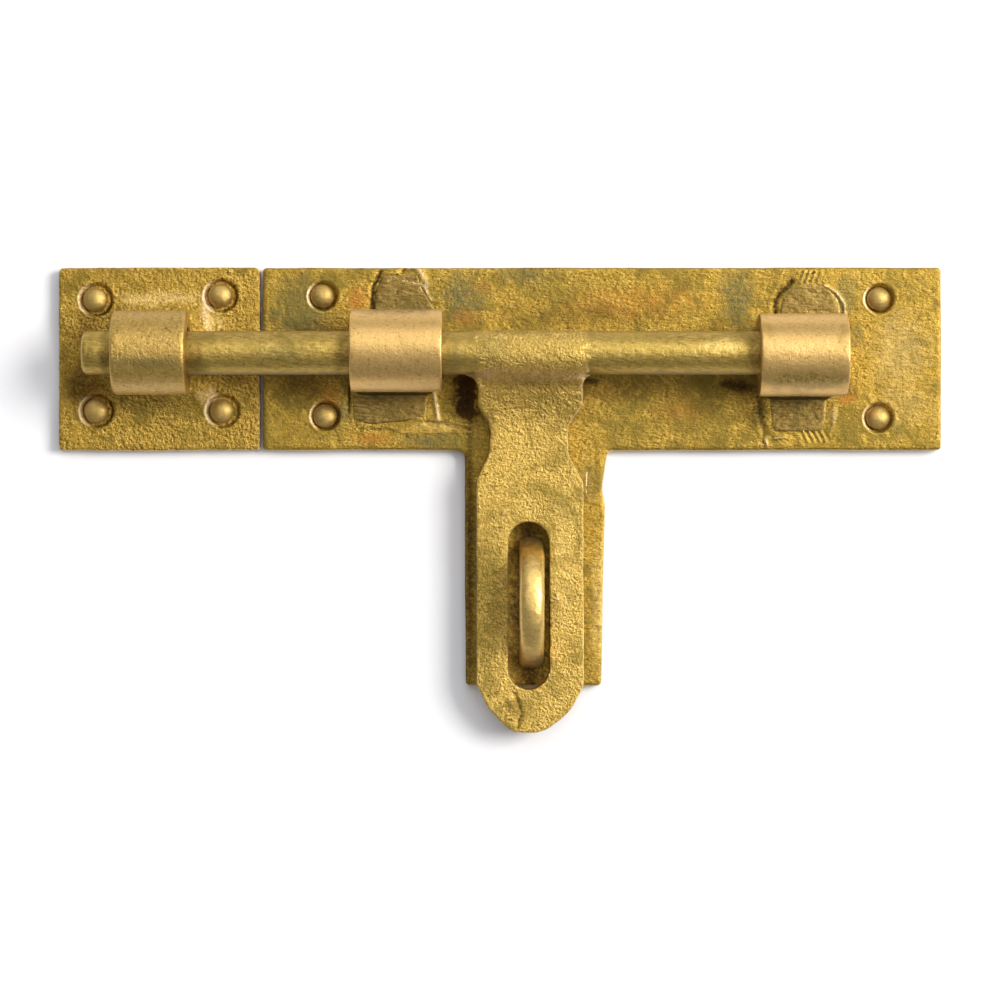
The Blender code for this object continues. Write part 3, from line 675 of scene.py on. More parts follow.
@dataclass
class Piece:
    """A mesh on its way to becoming a finished piece of the latch."""

    name: str
    shell: bmesh.types.BMesh
    obj: bpy.types.Object = field(init=False)

    def __post_init__(self) -> None:
        """Turns the millimetre shell into an object in metres at the origin."""
        bmesh.ops.scale(self.shell, vec=(MM, MM, MM), verts=self.shell.verts)
        mesh = bpy.data.meshes.new(self.name)
        self.shell.to_mesh(mesh)
        self.shell.free()
        self.obj = bpy.data.objects.new(self.name, mesh)
        bpy.context.scene.collection.objects.link(self.obj)

    def _modifier(self, kind: str, **settings: object) -> None:
        """Adds a modifier with these settings."""
        modifier = self.obj.modifiers.new(kind.title(), kind)
        for key, value in settings.items():
            setattr(modifier, key, value)

    def skin(self, voxel: float, smoothing: int) -> Piece:
        """Draws one even skin over the shells, voxel millimetres fine, and eases it."""
        self._modifier("REMESH", mode="VOXEL", voxel_size=voxel * MM, adaptivity=0.0)
        self._modifier("SMOOTH", factor=0.5, iterations=smoothing)
        return self

    def rough(self, *layers: Point) -> Piece:
        """Displaces the surface by layers of clouds, each with its size and its depth, and applies all."""
        for size, depth in layers:
            self._modifier("DISPLACE", texture=clouds(size), texture_coords="LOCAL", strength=depth * MM,
                           mid_level=0.5, direction="NORMAL")
        return self.bake()

    def bake(self) -> Piece:
        """Applies every modifier."""
        graph = bpy.context.evaluated_depsgraph_get()
        mesh = bpy.data.meshes.new_from_object(self.obj.evaluated_get(graph))
        self.obj.modifiers.clear()
        old, self.obj.data = self.obj.data, mesh
        mesh.name = self.name
        bpy.data.meshes.remove(old)
        return self

    def sculpt(self, push: Callable[[Vector], Vector]) -> Piece:
        """Moves each point by what push returns for its place, both in millimetres."""
        for vert in self.obj.data.vertices:
            vert.co += push(vert.co / MM) * MM
        return self

    def ease(self, chosen: Callable[[Vector], bool], times: int) -> Piece:
        """Smooths the points that are chosen by their place in millimetres, many times over."""
        bm = bmesh.new()
        bm.from_mesh(self.obj.data)
        verts = [vert for vert in bm.verts if chosen(vert.co / MM)]
        for _ in range(times):
            bmesh.ops.smooth_vert(bm, verts=verts, factor=0.5, use_axis_x=True, use_axis_y=True,
                                  use_axis_z=True)
        bm.to_mesh(self.obj.data)
        bm.free()
        return self

    def mark(self, name: str, values: Sequence[float]) -> Piece:
        """Writes a number on every point for the finish to read."""
        self.obj.data.attributes.new(name, "FLOAT", "POINT").data.foreach_set("value", values)
        return self

    def paint(self, tone: Callable[[Vector], float]) -> Piece:
        """Paints shade below 0 and highlight above it; rims get a painted highlight where they face right or
        down, and painted shade where they face left.

        Args:
            tone: The tone at a place in millimetres.

        Returns:
            The piece itself.
        """
        values = []
        for vert in self.obj.data.vertices:
            upright = vert.normal.z
            tilt = clamped((RIM_LEVEL - upright) / RIM_SPAN) if upright > -0.1 else 0.0
            side = vert.normal.x if vert.normal.x > 0 else RIM_SHADE * vert.normal.x
            side += RIM_LOWER * max(0.0, -vert.normal.y)
            values.append(tone(vert.co / MM) + tilt * side)
        return self.mark("tone", values)

    def flat_back(self, height: float) -> Piece:
        """Replaces the dense skin below a height by one flat closing face."""
        bm = bmesh.new()
        bm.from_mesh(self.obj.data)
        under = [face for face in bm.faces if all(vert.co.z < height * MM for vert in face.verts)]
        bmesh.ops.delete(bm, geom=under, context="FACES")
        for vert in bm.verts:
            if vert.is_boundary:
                vert.co.z = 0.0
        rims = [edge for edge in bm.edges if edge.is_boundary]
        bmesh.ops.triangle_fill(bm, use_beauty=True, use_dissolve=False, edges=rims, normal=(0, 0, -1))
        bmesh.ops.recalc_face_normals(bm, faces=bm.faces[:])
        bm.to_mesh(self.obj.data)
        bm.free()
        return self

    def place(self, body: str, node: str, finish: bpy.types.Material, slot: str) -> None:
        """Hangs the piece on its body, in place of a node of the frame, in its finish.

        Args:
            body: The body that it rides on.
            node: The node that it stands for.
            finish: Its material.
            slot: The record's material slot; not used.
        """
        mesh = self.obj.data
        low, high = FRAME_BOX
        for vert in mesh.vertices:
            vert.co = [max(least, min(most, value)) for least, value, most in zip(low, vert.co, high)]
        mesh.materials.clear()
        mesh.materials.append(finish)
        mesh.shade_smooth()
        mesh.set_sharp_from_angle(angle=SHARP_ANGLE)
        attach(self.obj, body)
        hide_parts(node)
        LOG.info("%s: %d faces on %s", self.name, len(mesh.polygons), body)


@dataclass(frozen=True)
class Box:
    """A frame node's box in millimetres."""

    low: Vector
    high: Vector

    @staticmethod
    def of(node: str) -> Box:
        """Reads a node's box from the frame."""
        low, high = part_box(node)
        return Box(Vector(low) / MM, Vector(high) / MM)

    @property
    def middle(self) -> Vector:
        """Its middle."""
        return (self.low + self.high) / 2

    @property
    def size(self) -> Vector:
        """Its three sides."""
        return self.high - self.low


# ------------------------------------------------------------------ hand work


@dataclass(frozen=True)
class Stroke:
    """A groove or a raised burr that a tool left along a chain of points on a face; its tone paints shade
    (below 0) or highlight (above 0) there.
    """

    points: tuple[Point, ...]
    width: float
    height: float
    tone: float

    def share(self, place: Vector) -> float:
        """How strongly the stroke is felt at a place, from 0 to 1, with ragged sides."""
        reach = self.width * 2.4
        for axis in (0, 1):
            ends = [point[axis] for point in self.points]
            if not min(ends) - reach < place[axis] < max(ends) + reach:
                return 0.0
        spot = Vector((place.x, place.y))
        away = reach
        for first, last in zip(self.points, self.points[1:]):
            start, end = Vector(first), Vector(last)
            along = clamped((spot - start).dot(end - start) / (end - start).length_squared)
            away = min(away, (spot - start.lerp(end, along)).length)
        ragged = 1.0 + 0.55 * noise.noise(Vector((place.x * 1.1, place.y * 1.1, self.width)))
        broken = 1.0 + 0.55 * noise.noise(Vector((place.x * 2.4, place.y * 2.4, 7.0 + self.width)))
        return broken * bell(away, self.width * ragged)


def dashes(start: Point, step: Point, lean: Point, count: int) -> tuple[Stroke, ...]:
    """A row of short stake marks, turn by turn a groove with painted shade and a raised edge with painted
    highlight.
    """
    made = []
    for index in range(count):
        x, y = start[0] + step[0] * index, start[1] + step[1] * index
        height, tone = (0.20, 0.30) if index % 2 else (-0.20, -0.20)
        made.append(Stroke(((x, y), (x + lean[0], y + lean[1])), 0.24, height, tone))
    return tuple(made)


def total(strokes: Sequence[Stroke], part: str, place: Vector) -> float:
    """The sum of the strokes' height or tone at a place."""
    return sum(getattr(stroke, part) * stroke.share(place) for stroke in strokes)


PLATE_STROKES: tuple[Stroke, ...] = (
    # crevice, burr and file ridges of the upper left foot, with painted shade in the crevice and grooves and
    # painted highlight on the burr and ridges
    Stroke(((-33.8, 18.9), (-34.3, 17.6), (-35.5, 15.6), (-35.8, 10)), 0.60, -0.35, -0.85),
    Stroke(((-25.2, 19.2), (-24.2, 17.4), (-23.3, 15.9)), 0.85, 0.28, 0.40),
    Stroke(((-24.2, 15.6), (-23.3, 14.2), (-22.3, 12.4)), 0.35, 0.22, 0.50),
    Stroke(((-33.1, 17.5), (-28, 16.7), (-24.8, 15.9)), 0.26, 0.22, 0.40),
    Stroke(((-33, 18.1), (-27.5, 17.4), (-25.2, 17)), 0.24, -0.14, -0.25),
    Stroke(((-32.8, 18.7), (-27, 18.1)), 0.24, 0.14, 0.2),
    Stroke(((-34.6, 16.6), (-29, 16), (-25, 15)), 0.24, -0.12, -0.25),
    Stroke(((-26.8, 19.4), (-28.8, 19)), 0.45, -0.45, -0.4),
    # lower left foot: slit, and the file strokes that run to the stem, with painted shade in the slit and
    # grooves and painted highlight on the lit edge and ridges
    Stroke(((-40.9, -7), (-41, -12.6)), 0.40, -0.35, -0.80),
    Stroke(((-37.3, -16.2), (-31.7, -16.4), (-28.8, -17.6), (-12.6, -17.3)), 0.30, 0.14, 0.22),
    Stroke(((-36, -17), (-30.6, -17.4)), 0.45, -0.14, -0.15),
    Stroke(((-21.7, -8.6), (-21.3, -11), (-20.8, -14.2)), 0.45, 0.25, 0.65),
    Stroke(((-25.8, -14.4), (-18, -15.1), (-12.7, -16.3)), 0.25, 0.18, 0.28),
    Stroke(((-24, -15.3), (-14, -16.7)), 0.45, -0.18, -0.15),
    # groove round the upper right foot, and the ridge beside it, with painted shade in the groove and painted
    # highlight on the ridges
    Stroke(((55.6, 8), (55.5, 12.1), (56.7, 14), (59.4, 16.7)), 0.60, -0.35, -0.80),
    Stroke(((54.4, 12.6), (56.9, 18)), 0.45, 0.10, 0.15),
    Stroke(((71.5, 8.6), (71.1, 11.8), (69.4, 14.2), (66.8, 15.7)), 0.30, 0.35, 0.55),
    # hollow beside the lower right foot, with its burrs, with painted shade in the hollow and painted
    # highlight on the burrs
    Stroke(((51.6, -9.5), (52.2, -14), (53.2, -17.8)), 0.95, -0.22, -0.50),
    Stroke(((53.3, -18.6), (53.7, -20.4)), 0.50, 0.30, 0.4),
    Stroke(((50.6, -13), (52.2, -18)), 0.45, 0.10, 0.10),
    Stroke(((68.9, -11.5), (68.6, -16.5), (67.6, -18)), 0.60, 0.12, 0.16),
    Stroke(((55.4, -18.8), (57.6, -18.6)), 0.4, 0.25, 0.3),
    # painted shadow beside the hasp's neck and under the bolt, painted shade on the slot floor behind the
    # staple, down the left of the stem and under the right guide; then stake marks with painted shade and
    # highlight
    Stroke(((-14.4, -5), (-14.2, -12.8)), 2.4, 0, -1.4),
    Stroke(((12.6, -5.8), (15, -6.2)), 0.9, 0, -0.7),
    Stroke(((-13.7, -16), (-13.7, -74)), 1.1, 0, -0.5),
    Stroke(((-0.3, -41), (-0.3, -73)), 4.2, 0, -0.75),
    Stroke(((44, -6.6), (50, -7.4)), 1.3, 0, -0.6),
    *dashes((61.2, -17.3), (0.66, 0.02), (1.2, -2.2), 9),
    *dashes((61.6, 18.8), (0.62, -0.03), (-0.9, -2.3), 7),
)
KEEPER_STROKES: tuple[Stroke, ...] = (
    # painted highlight on the slopes of the pad, and painted shade on its far side from the light
    Stroke(((-91, 12.2), (-83, 13.2), (-74, 12.6)), 2, 0, 0.22),
    Stroke(((-73.4, 10.5), (-72.8, 7), (-72.2, 4.8)), 1.1, 0, 0.36),
    Stroke(((-72.2, -7.8), (-71, -10.6)), 1.3, 0, 0.34),
    Stroke(((-88, -12.6), (-77, -12.8)), 1.2, 0, 0.12),
    Stroke(((-97.5, 7.6), (-96.5, 9)), 2.2, 0, -0.30),
    Stroke(((-99, -6.6), (-94.6, -8.6)), 1.8, 0, -0.35),
)
HASP_STROKES: tuple[Stroke, ...] = (
    # casting bumps with painted highlight and a groove with painted shade
    Stroke(((6, -54.2), (6.3, -55)), 0.5, 0.35, 0.5),
    Stroke(((-3.4, -76.5), (-2, -80.5), (-2.8, -84)), 0.4, -0.40, -0.35),
    Stroke(((-4.6, -78), (-3.6, -79.8)), 0.7, 0.30, 0.2),
    Stroke(((-6, -36), (-5, -35)), 0.5, 0.25, 0.3),
)
LEFT_SADDLE = (
    Corner(-33.2, 18.2, 0.4), Corner(-35, 14.6, 1), Corner(-35.3, 9, 1), Corner(-40.3, 2, 1),
    Corner(-40.3, -14.8, 1), Corner(-36, -15.9, 1), Corner(-23.4, -14.6, 1.6), Corner(-21.4, 8, 1),
    Corner(-21.6, 10.8, 0.6), Corner(-24.3, 15.2, 1.2), Corner(-25.4, 18.4, 0.4),
)
RIGHT_SADDLE = (
    Corner(56.3, 16.6, 6.6), Corner(56.3, 2, 1), Corner(53.6, -6, 1), Corner(54.4, -17.8, 2.4),
    Corner(67, -17.8, 3), Corner(67.8, -6, 1), Corner(70.7, 2, 1), Corner(70.7, 16.4, 6.8),
)


@dataclass(frozen=True)
class Face:
    """A worked face: the tool strokes on it, and the bowls round its nails."""

    height: float
    strokes: tuple[Stroke, ...]
    nails: list[Box]
    sinking: float
    shift: float = 0.22
    wall: float = 0.95
    depth: float = 0.85

    def sink(self, place: Vector, nail: Box) -> float:
        """How far a point goes down in the bowl round a nail, with its little raised rim."""
        away = math.hypot(place.x - nail.middle.x - self.shift, place.y - nail.middle.y)
        if away > self.sinking + 1.2:
            return 0.0
        down = clamped((self.sinking - away) / self.wall)
        inside = down * down * (3.0 - 2.0 * down)
        return (self.height - self.depth - place.z) * inside + 0.09 * bell(away - self.sinking - 0.25, 0.28)

    def sink_tone(self, place: Vector, nail: Box) -> float:
        """The painted shade in the crease round the nail, darkest on its right, the painted highlight on the
        left wall of its bowl and the painted shade on its right wall.
        """
        side, up = place.x - nail.middle.x, place.y - nail.middle.y
        away = math.hypot(side, up)
        if away > self.sinking + 1.0:
            return 0.0
        lean = side / max(away, 0.1)
        crease_shade = bell(away - nail.size.x / 2, 0.28) * (0.30 + 0.16 * lean)
        wall = bell(away - self.sinking + 0.35, 0.38)
        return 1.1 * wall * max(0.0, -lean - 0.25) - 0.35 * wall * max(0.0, lean) - crease_shade

    def push(self, place: Vector) -> Vector:
        """How far a point is moved up or down."""
        if place.z < self.height - 0.7:
            return Vector((0.0, 0.0, 0.0))
        up = total(self.strokes, "height", place)
        return Vector((0.0, 0.0, up + sum(self.sink(place, nail) for nail in self.nails)))

    def tone(self, place: Vector) -> float:
        """How much painted highlight (above 0) and painted shade (below 0) a point gets."""
        if place.z < self.height - 1.6:
            return 0.0
        return total(self.strokes, "tone", place) + sum(self.sink_tone(place, nail) for nail in self.nails)


# ------------------------------------------------------------------ sub-assemblies

NAIL_CORNERS = ("upper_left", "lower_left", "upper_right", "lower_right")


@dataclass
class BackPlate:
    """The T-shaped plate with its nail sinkings and the stake marks round the two saddles."""

    finish: bpy.types.Material
    bar_height: float = 41.4
    stem_left: float = 14.6
    stem_right_top: float = 17.3
    stem_right_foot: float = 16.2
    voxel: float = 0.345
    uneven: tuple[Point, ...] = ((22.0, 0.40), (3.4, 0.10), (1.5, 0.08), (0.9, 0.06))
    sinking: float = 3.55
    dent_y: float = -30.4
    dent_depth: float = 0.75
    dent_upper: float = 4.5
    dent_lower: float = 2.4

    def outline(self, box: Box) -> list[Corner]:
        """The T, anticlockwise from its upper left corner."""
        bottom = box.high.y - self.bar_height
        return [
            Corner(box.low.x, box.high.y, 0.8), Corner(box.low.x, bottom, 0.8),
            Corner(-self.stem_left, bottom, 2.0), Corner(-self.stem_left, box.low.y, 0.9),
            Corner(self.stem_right_foot, box.low.y, 0.9), Corner(self.stem_right_top, bottom, 1.6),
            Corner(box.high.x, bottom, 0.8), Corner(box.high.x, box.high.y, 0.9),
        ]

    def dent(self, place: Vector) -> Vector:
        """How far the stem's right edge is worn in, a step below its waist."""
        if place.x < self.stem_right_foot - 3.0 or place.y > -24.0:
            return Vector((0.0, 0.0, 0.0))
        reach = self.dent_lower if place.y < self.dent_y else self.dent_upper
        return Vector((-self.dent_depth * bell(place.y - self.dent_y, reach), 0.0, 0.0))

    def build(self) -> None:
        """Makes and places the plate."""
        box = Box.of("main_plate")
        nails = [Box.of(f"plate_nail_{corner}") for corner in NAIL_CORNERS]
        face = Face(box.high.z, PLATE_STROKES, nails, self.sinking)
        piece = Piece("back_plate", raise_shell(shell_of(self.outline(box)), 0.0, box.high.z, 0.5, 0.2))
        piece.skin(self.voxel, 3).rough(*self.uneven)
        piece.sculpt(lambda place: face.push(place) + self.dent(place)).flat_back(0.5).paint(face.tone)
        piece.place("base", "main_plate", self.finish, "plate_brass")


def make_barrel(name: str, box: Box, wall: float, rim: float) -> Piece:
    """A bored barrel along X that fills a box, with rounded rims and a hand-filed unevenness."""
    outer, half = box.size.y / 2, box.size.x / 2
    inner, shoulder, straight = outer - wall, outer - rim, half - rim
    arc = [math.radians(22.5 * step) for step in range(5)]
    profile = [(shoulder + rim * math.sin(turn), straight + rim * math.cos(turn)) for turn in arc]
    profile += [(outer, straight - 2 * straight * ring / 24) for ring in range(1, 24)]
    profile += [(shoulder + rim * math.cos(turn), -straight - rim * math.sin(turn)) for turn in arc]
    profile += [(inner + 0.25, -half), (inner, 0.25 - half), (inner, half - 0.25), (inner + 0.25, half)]
    bm = turned(profile, 120, closed=True)
    bmesh.ops.translate(bm, verts=bm.verts, vec=box.middle)
    return Piece(name, bm).rough((9.0, 0.18), (2.2, 0.05))


@dataclass
class Guide:
    """A guide barrel with the saddle that is let into the plate under it."""

    side: str
    barrel_finish: bpy.types.Material
    saddle_finish: bpy.types.Material
    corners: tuple[Corner, ...]
    wall: float = 3.5
    rim: float = 0.40
    proud: float = 0.12
    bed: float = 0.8
    voxel: float = 0.23

    def saddle(self, guide: Box) -> Piece:
        """Makes the saddle: a tongue let into the plate, and a bed coved up to the barrel."""
        face, middle = Box.of("main_plate").high.z, guide.middle
        half = Vector((guide.size.x / 2 - 1.2, guide.size.y / 2))
        shells = [raise_shell(shell_of(self.corners), face - self.bed, face + self.proud, 0.75)]
        for reach, top in ((1.02, 1.6), (0.86, 3.0)):
            left, right = middle.x - 0.3 - half.x, middle.x - 0.3 + half.x * 0.94
            plan = rectangle(left, right, middle.y - half.y * reach, middle.y + half.y * reach, [1.0] * 4)
            shells.append(raise_shell(shell_of(plan), face - self.bed, face + top, 0.8))
        piece = Piece(f"{self.side}_saddle", join(*shells)).skin(self.voxel, 3).bake()
        piece.ease(lambda place: place.z > face + 0.3 and abs(place.y - middle.y) < half.y + 2.2, 22)
        return piece.rough((5.0, 0.22), (1.1, 0.06))

    def build(self) -> None:
        """Makes both pieces."""
        node = f"{self.side}_guide"
        guide = Box.of(node)
        barrel = make_barrel(f"{self.side}_barrel", guide, self.wall, self.rim)
        barrel.place("base", node, self.barrel_finish, "barrel_brass")
        self.saddle(guide).place("base", f"{node}_saddle", self.saddle_finish, "plate_brass")


@dataclass
class Keeper:
    """The keeper's cast plate, its barrel and the pad between them."""

    cast_finish: bpy.types.Material
    barrel_finish: bpy.types.Material
    wall: float = 3.7
    rim: float = 0.7
    voxel: float = 0.25
    uneven: tuple[Point, ...] = ((16.0, 0.40), (3.2, 0.24), (1.4, 0.18), (0.75, 0.13))
    sinking: float = 4.05
    pad_half: float = 9.9
    pad_lead: float = 0.6
    pad_tail: float = 1.8

    def plate(self) -> Piece:
        """Makes the cast plate, with the pad drawn into it by soft coves."""
        box, barrel = Box.of("keeper_plate"), Box.of("keeper_barrel")
        height = Box.of("main_plate").high.z
        plan = rectangle(box.low.x, box.high.x, box.low.y, box.high.y, (1.0, 0.9, 0.7, 1.2))
        shells = [raise_shell(shell_of(plan), 0.0, height, 0.5, 0.2)]
        left, right = barrel.low.x - self.pad_lead, barrel.high.x + self.pad_tail
        for out, top in ((1.4, 0.7), (0.2, 1.3), (-1.0, 2.0)):
            reach = self.pad_half + out
            pad = rectangle(left - out * 0.6, right + out, -reach, reach, [2.4] * 4)
            shells.append(raise_shell(shell_of(pad), 0.5, height + top, 0.6))
        nails = [Box.of(f"keeper_nail_{corner}") for corner in NAIL_CORNERS]
        face = Face(height, KEEPER_STROKES, nails, self.sinking)

        def on_pad(place: Vector) -> bool:
            """True on the pad and its coves."""
            within = left - 2.4 < place.x < right + 3.0 and abs(place.y) < self.pad_half + 3.0
            return within and place.z > height - 0.4

        piece = Piece("keeper_base", join(*shells)).skin(self.voxel, 4).bake().ease(on_pad, 60)
        return piece.rough(*self.uneven).sculpt(face.push).flat_back(0.4).paint(face.tone)

    def build(self) -> None:
        """Makes both pieces."""
        self.plate().place("keeper", "keeper_plate", self.cast_finish, "cast_brass")
        barrel = make_barrel("keeper_sleeve", Box.of("keeper_barrel"), self.wall, self.rim)
        barrel.place("keeper", "keeper_barrel", self.barrel_finish, "barrel_brass")


@dataclass
class Nails:
    """The round-headed nails, each a little different."""

    finish: bpy.types.Material
    seed: int = 7
    plate_share: float = 0.97
    height: float = 2.35
    rim: float = 0.35
    shank: float = 1.4
    lean: float = 3.0

    def nail(self, node: str, share: float, chance: random.Random) -> Piece:
        """Makes one nail: a domed head with a soft rim, and its shank."""
        box = Box.of(node)
        head, top = box.size.x / 2 * share, box.high.z
        seat, rise = top - self.height, self.height - self.rim
        profile: list[Point] = [(0.0, top)]
        for turn in (math.radians(10 * step) for step in range(1, 10)):
            profile.append((head * math.sin(turn), seat + self.rim + rise * math.cos(turn)))
        profile += [(head, seat + 0.15), (head - 0.2, seat), (self.shank, seat), (self.shank, 0.15),
                    (self.shank - 0.2, 0.0), (0.0, 0.0)]
        bm = turned(profile, 40)
        upright = Matrix.Rotation(math.radians(-90), 3, "Y")
        bmesh.ops.rotate(bm, cent=(0, 0, 0), matrix=upright, verts=bm.verts)
        tilt = Matrix.Rotation(math.radians(chance.uniform(-self.lean, self.lean)), 3, "X")
        dome = [vert for vert in bm.verts if vert.co.z > seat - 0.1]
        bmesh.ops.rotate(bm, cent=(0, 0, seat), matrix=tilt, verts=dome)
        bmesh.ops.translate(bm, verts=bm.verts, vec=(box.middle.x, box.middle.y, 0.0))
        return Piece(f"{node}_head", bm).rough((3.5, 0.26))

    def build(self) -> None:
        """Makes all eight."""
        chance = random.Random(self.seed)
        for plate, body, share in (("plate", "base", self.plate_share), ("keeper", "keeper", 1.0)):
            for corner in NAIL_CORNERS:
                node = f"{plate}_nail_{corner}"
                self.nail(node, share, chance).place(body, node, self.finish, "nail_brass")


@dataclass
class Staple:
    """The half ring that the padlock goes through, forged from flat bar."""

    finish: bpy.types.Material
    depth: float = 3.8
    leg_top: float = 2.3
    crown: float = 1.9
    voxel: float = 0.16

    def build(self) -> None:
        """Sweeps the section round the arch, draws the legs down and eases the edges."""
        box = Box.of("staple")
        half, outer, inner = box.size.x / 2, box.size.y / 2, box.size.y / 2 - self.depth
        section = [(half - 0.5, inner), (half, inner + 0.6)]
        for turn in (math.pi * step / 10 for step in range(11)):
            section.append((half * math.cos(turn), outer - self.crown * (1 - math.sin(turn) ** 0.8)))
        section += [(-half, inner + 0.6), (0.5 - half, inner)]
        bm = bmesh.new()
        verts = [bm.verts.new((x, radius, 0.0)) for x, radius in section]
        face = bm.faces.new(verts)
        swept = bmesh.ops.spin(bm, geom=[face, *face.edges, *verts], cent=(0, 0, 0), axis=(1, 0, 0),
                               angle=math.pi, steps=40, use_duplicate=False)["geom_last"]
        for end in (face, *(item for item in swept if isinstance(item, bmesh.types.BMFace))):
            draw_out(bm, [end], (0, 0, -self.leg_top))
        rise = (box.high.z - self.leg_top) / outer
        bmesh.ops.scale(bm, vec=(1, 1, rise), verts=[vert for vert in bm.verts if vert.co.z > 0])
        bmesh.ops.remove_doubles(bm, verts=bm.verts[:], dist=1e-4)
        bmesh.ops.translate(bm, verts=bm.verts, vec=(box.middle.x, box.middle.y, self.leg_top))
        bmesh.ops.recalc_face_normals(bm, faces=bm.faces[:])
        piece = Piece("padlock_staple", bm).skin(self.voxel, 34).rough((7.0, 0.35), (2.0, 0.08))
        piece.place("base", "staple", self.finish, "bolt_brass")


@dataclass
class DrawBolt:
    """The round bolt, worn smooth where it slides."""

    finish: bpy.types.Material
    nose: float = 1.3
    rings: int = 150

    def build(self) -> None:
        """Turns the bolt from its nose to its tail."""
        box = Box.of("bolt_rod")
        radius, half = box.size.y / 2, box.size.x / 2
        profile: list[Point] = [(0.0, -half), (radius * 0.5, -half)]
        for turn in (math.radians(15 * step) for step in range(7)):
            across, along = 1 - math.sin(turn), 1 - math.cos(turn)
            profile.append((radius - self.nose * across, self.nose * along - half))
        step = (2 * half - self.nose - 0.6) / self.rings
        profile += [(radius, self.nose - half + step * ring) for ring in range(1, self.rings)]
        profile += [(radius, half - 0.5), (radius - 0.15, half - 0.15), (radius - 0.5, half), (0.0, half)]
        bm = turned(profile, 72)
        bmesh.ops.translate(bm, verts=bm.verts, vec=box.middle)
        piece = Piece("draw_bolt", bm).rough((12.0, 0.12), (2.5, 0.03))
        piece.place("bolt", "bolt_rod", self.finish, "bolt_brass")


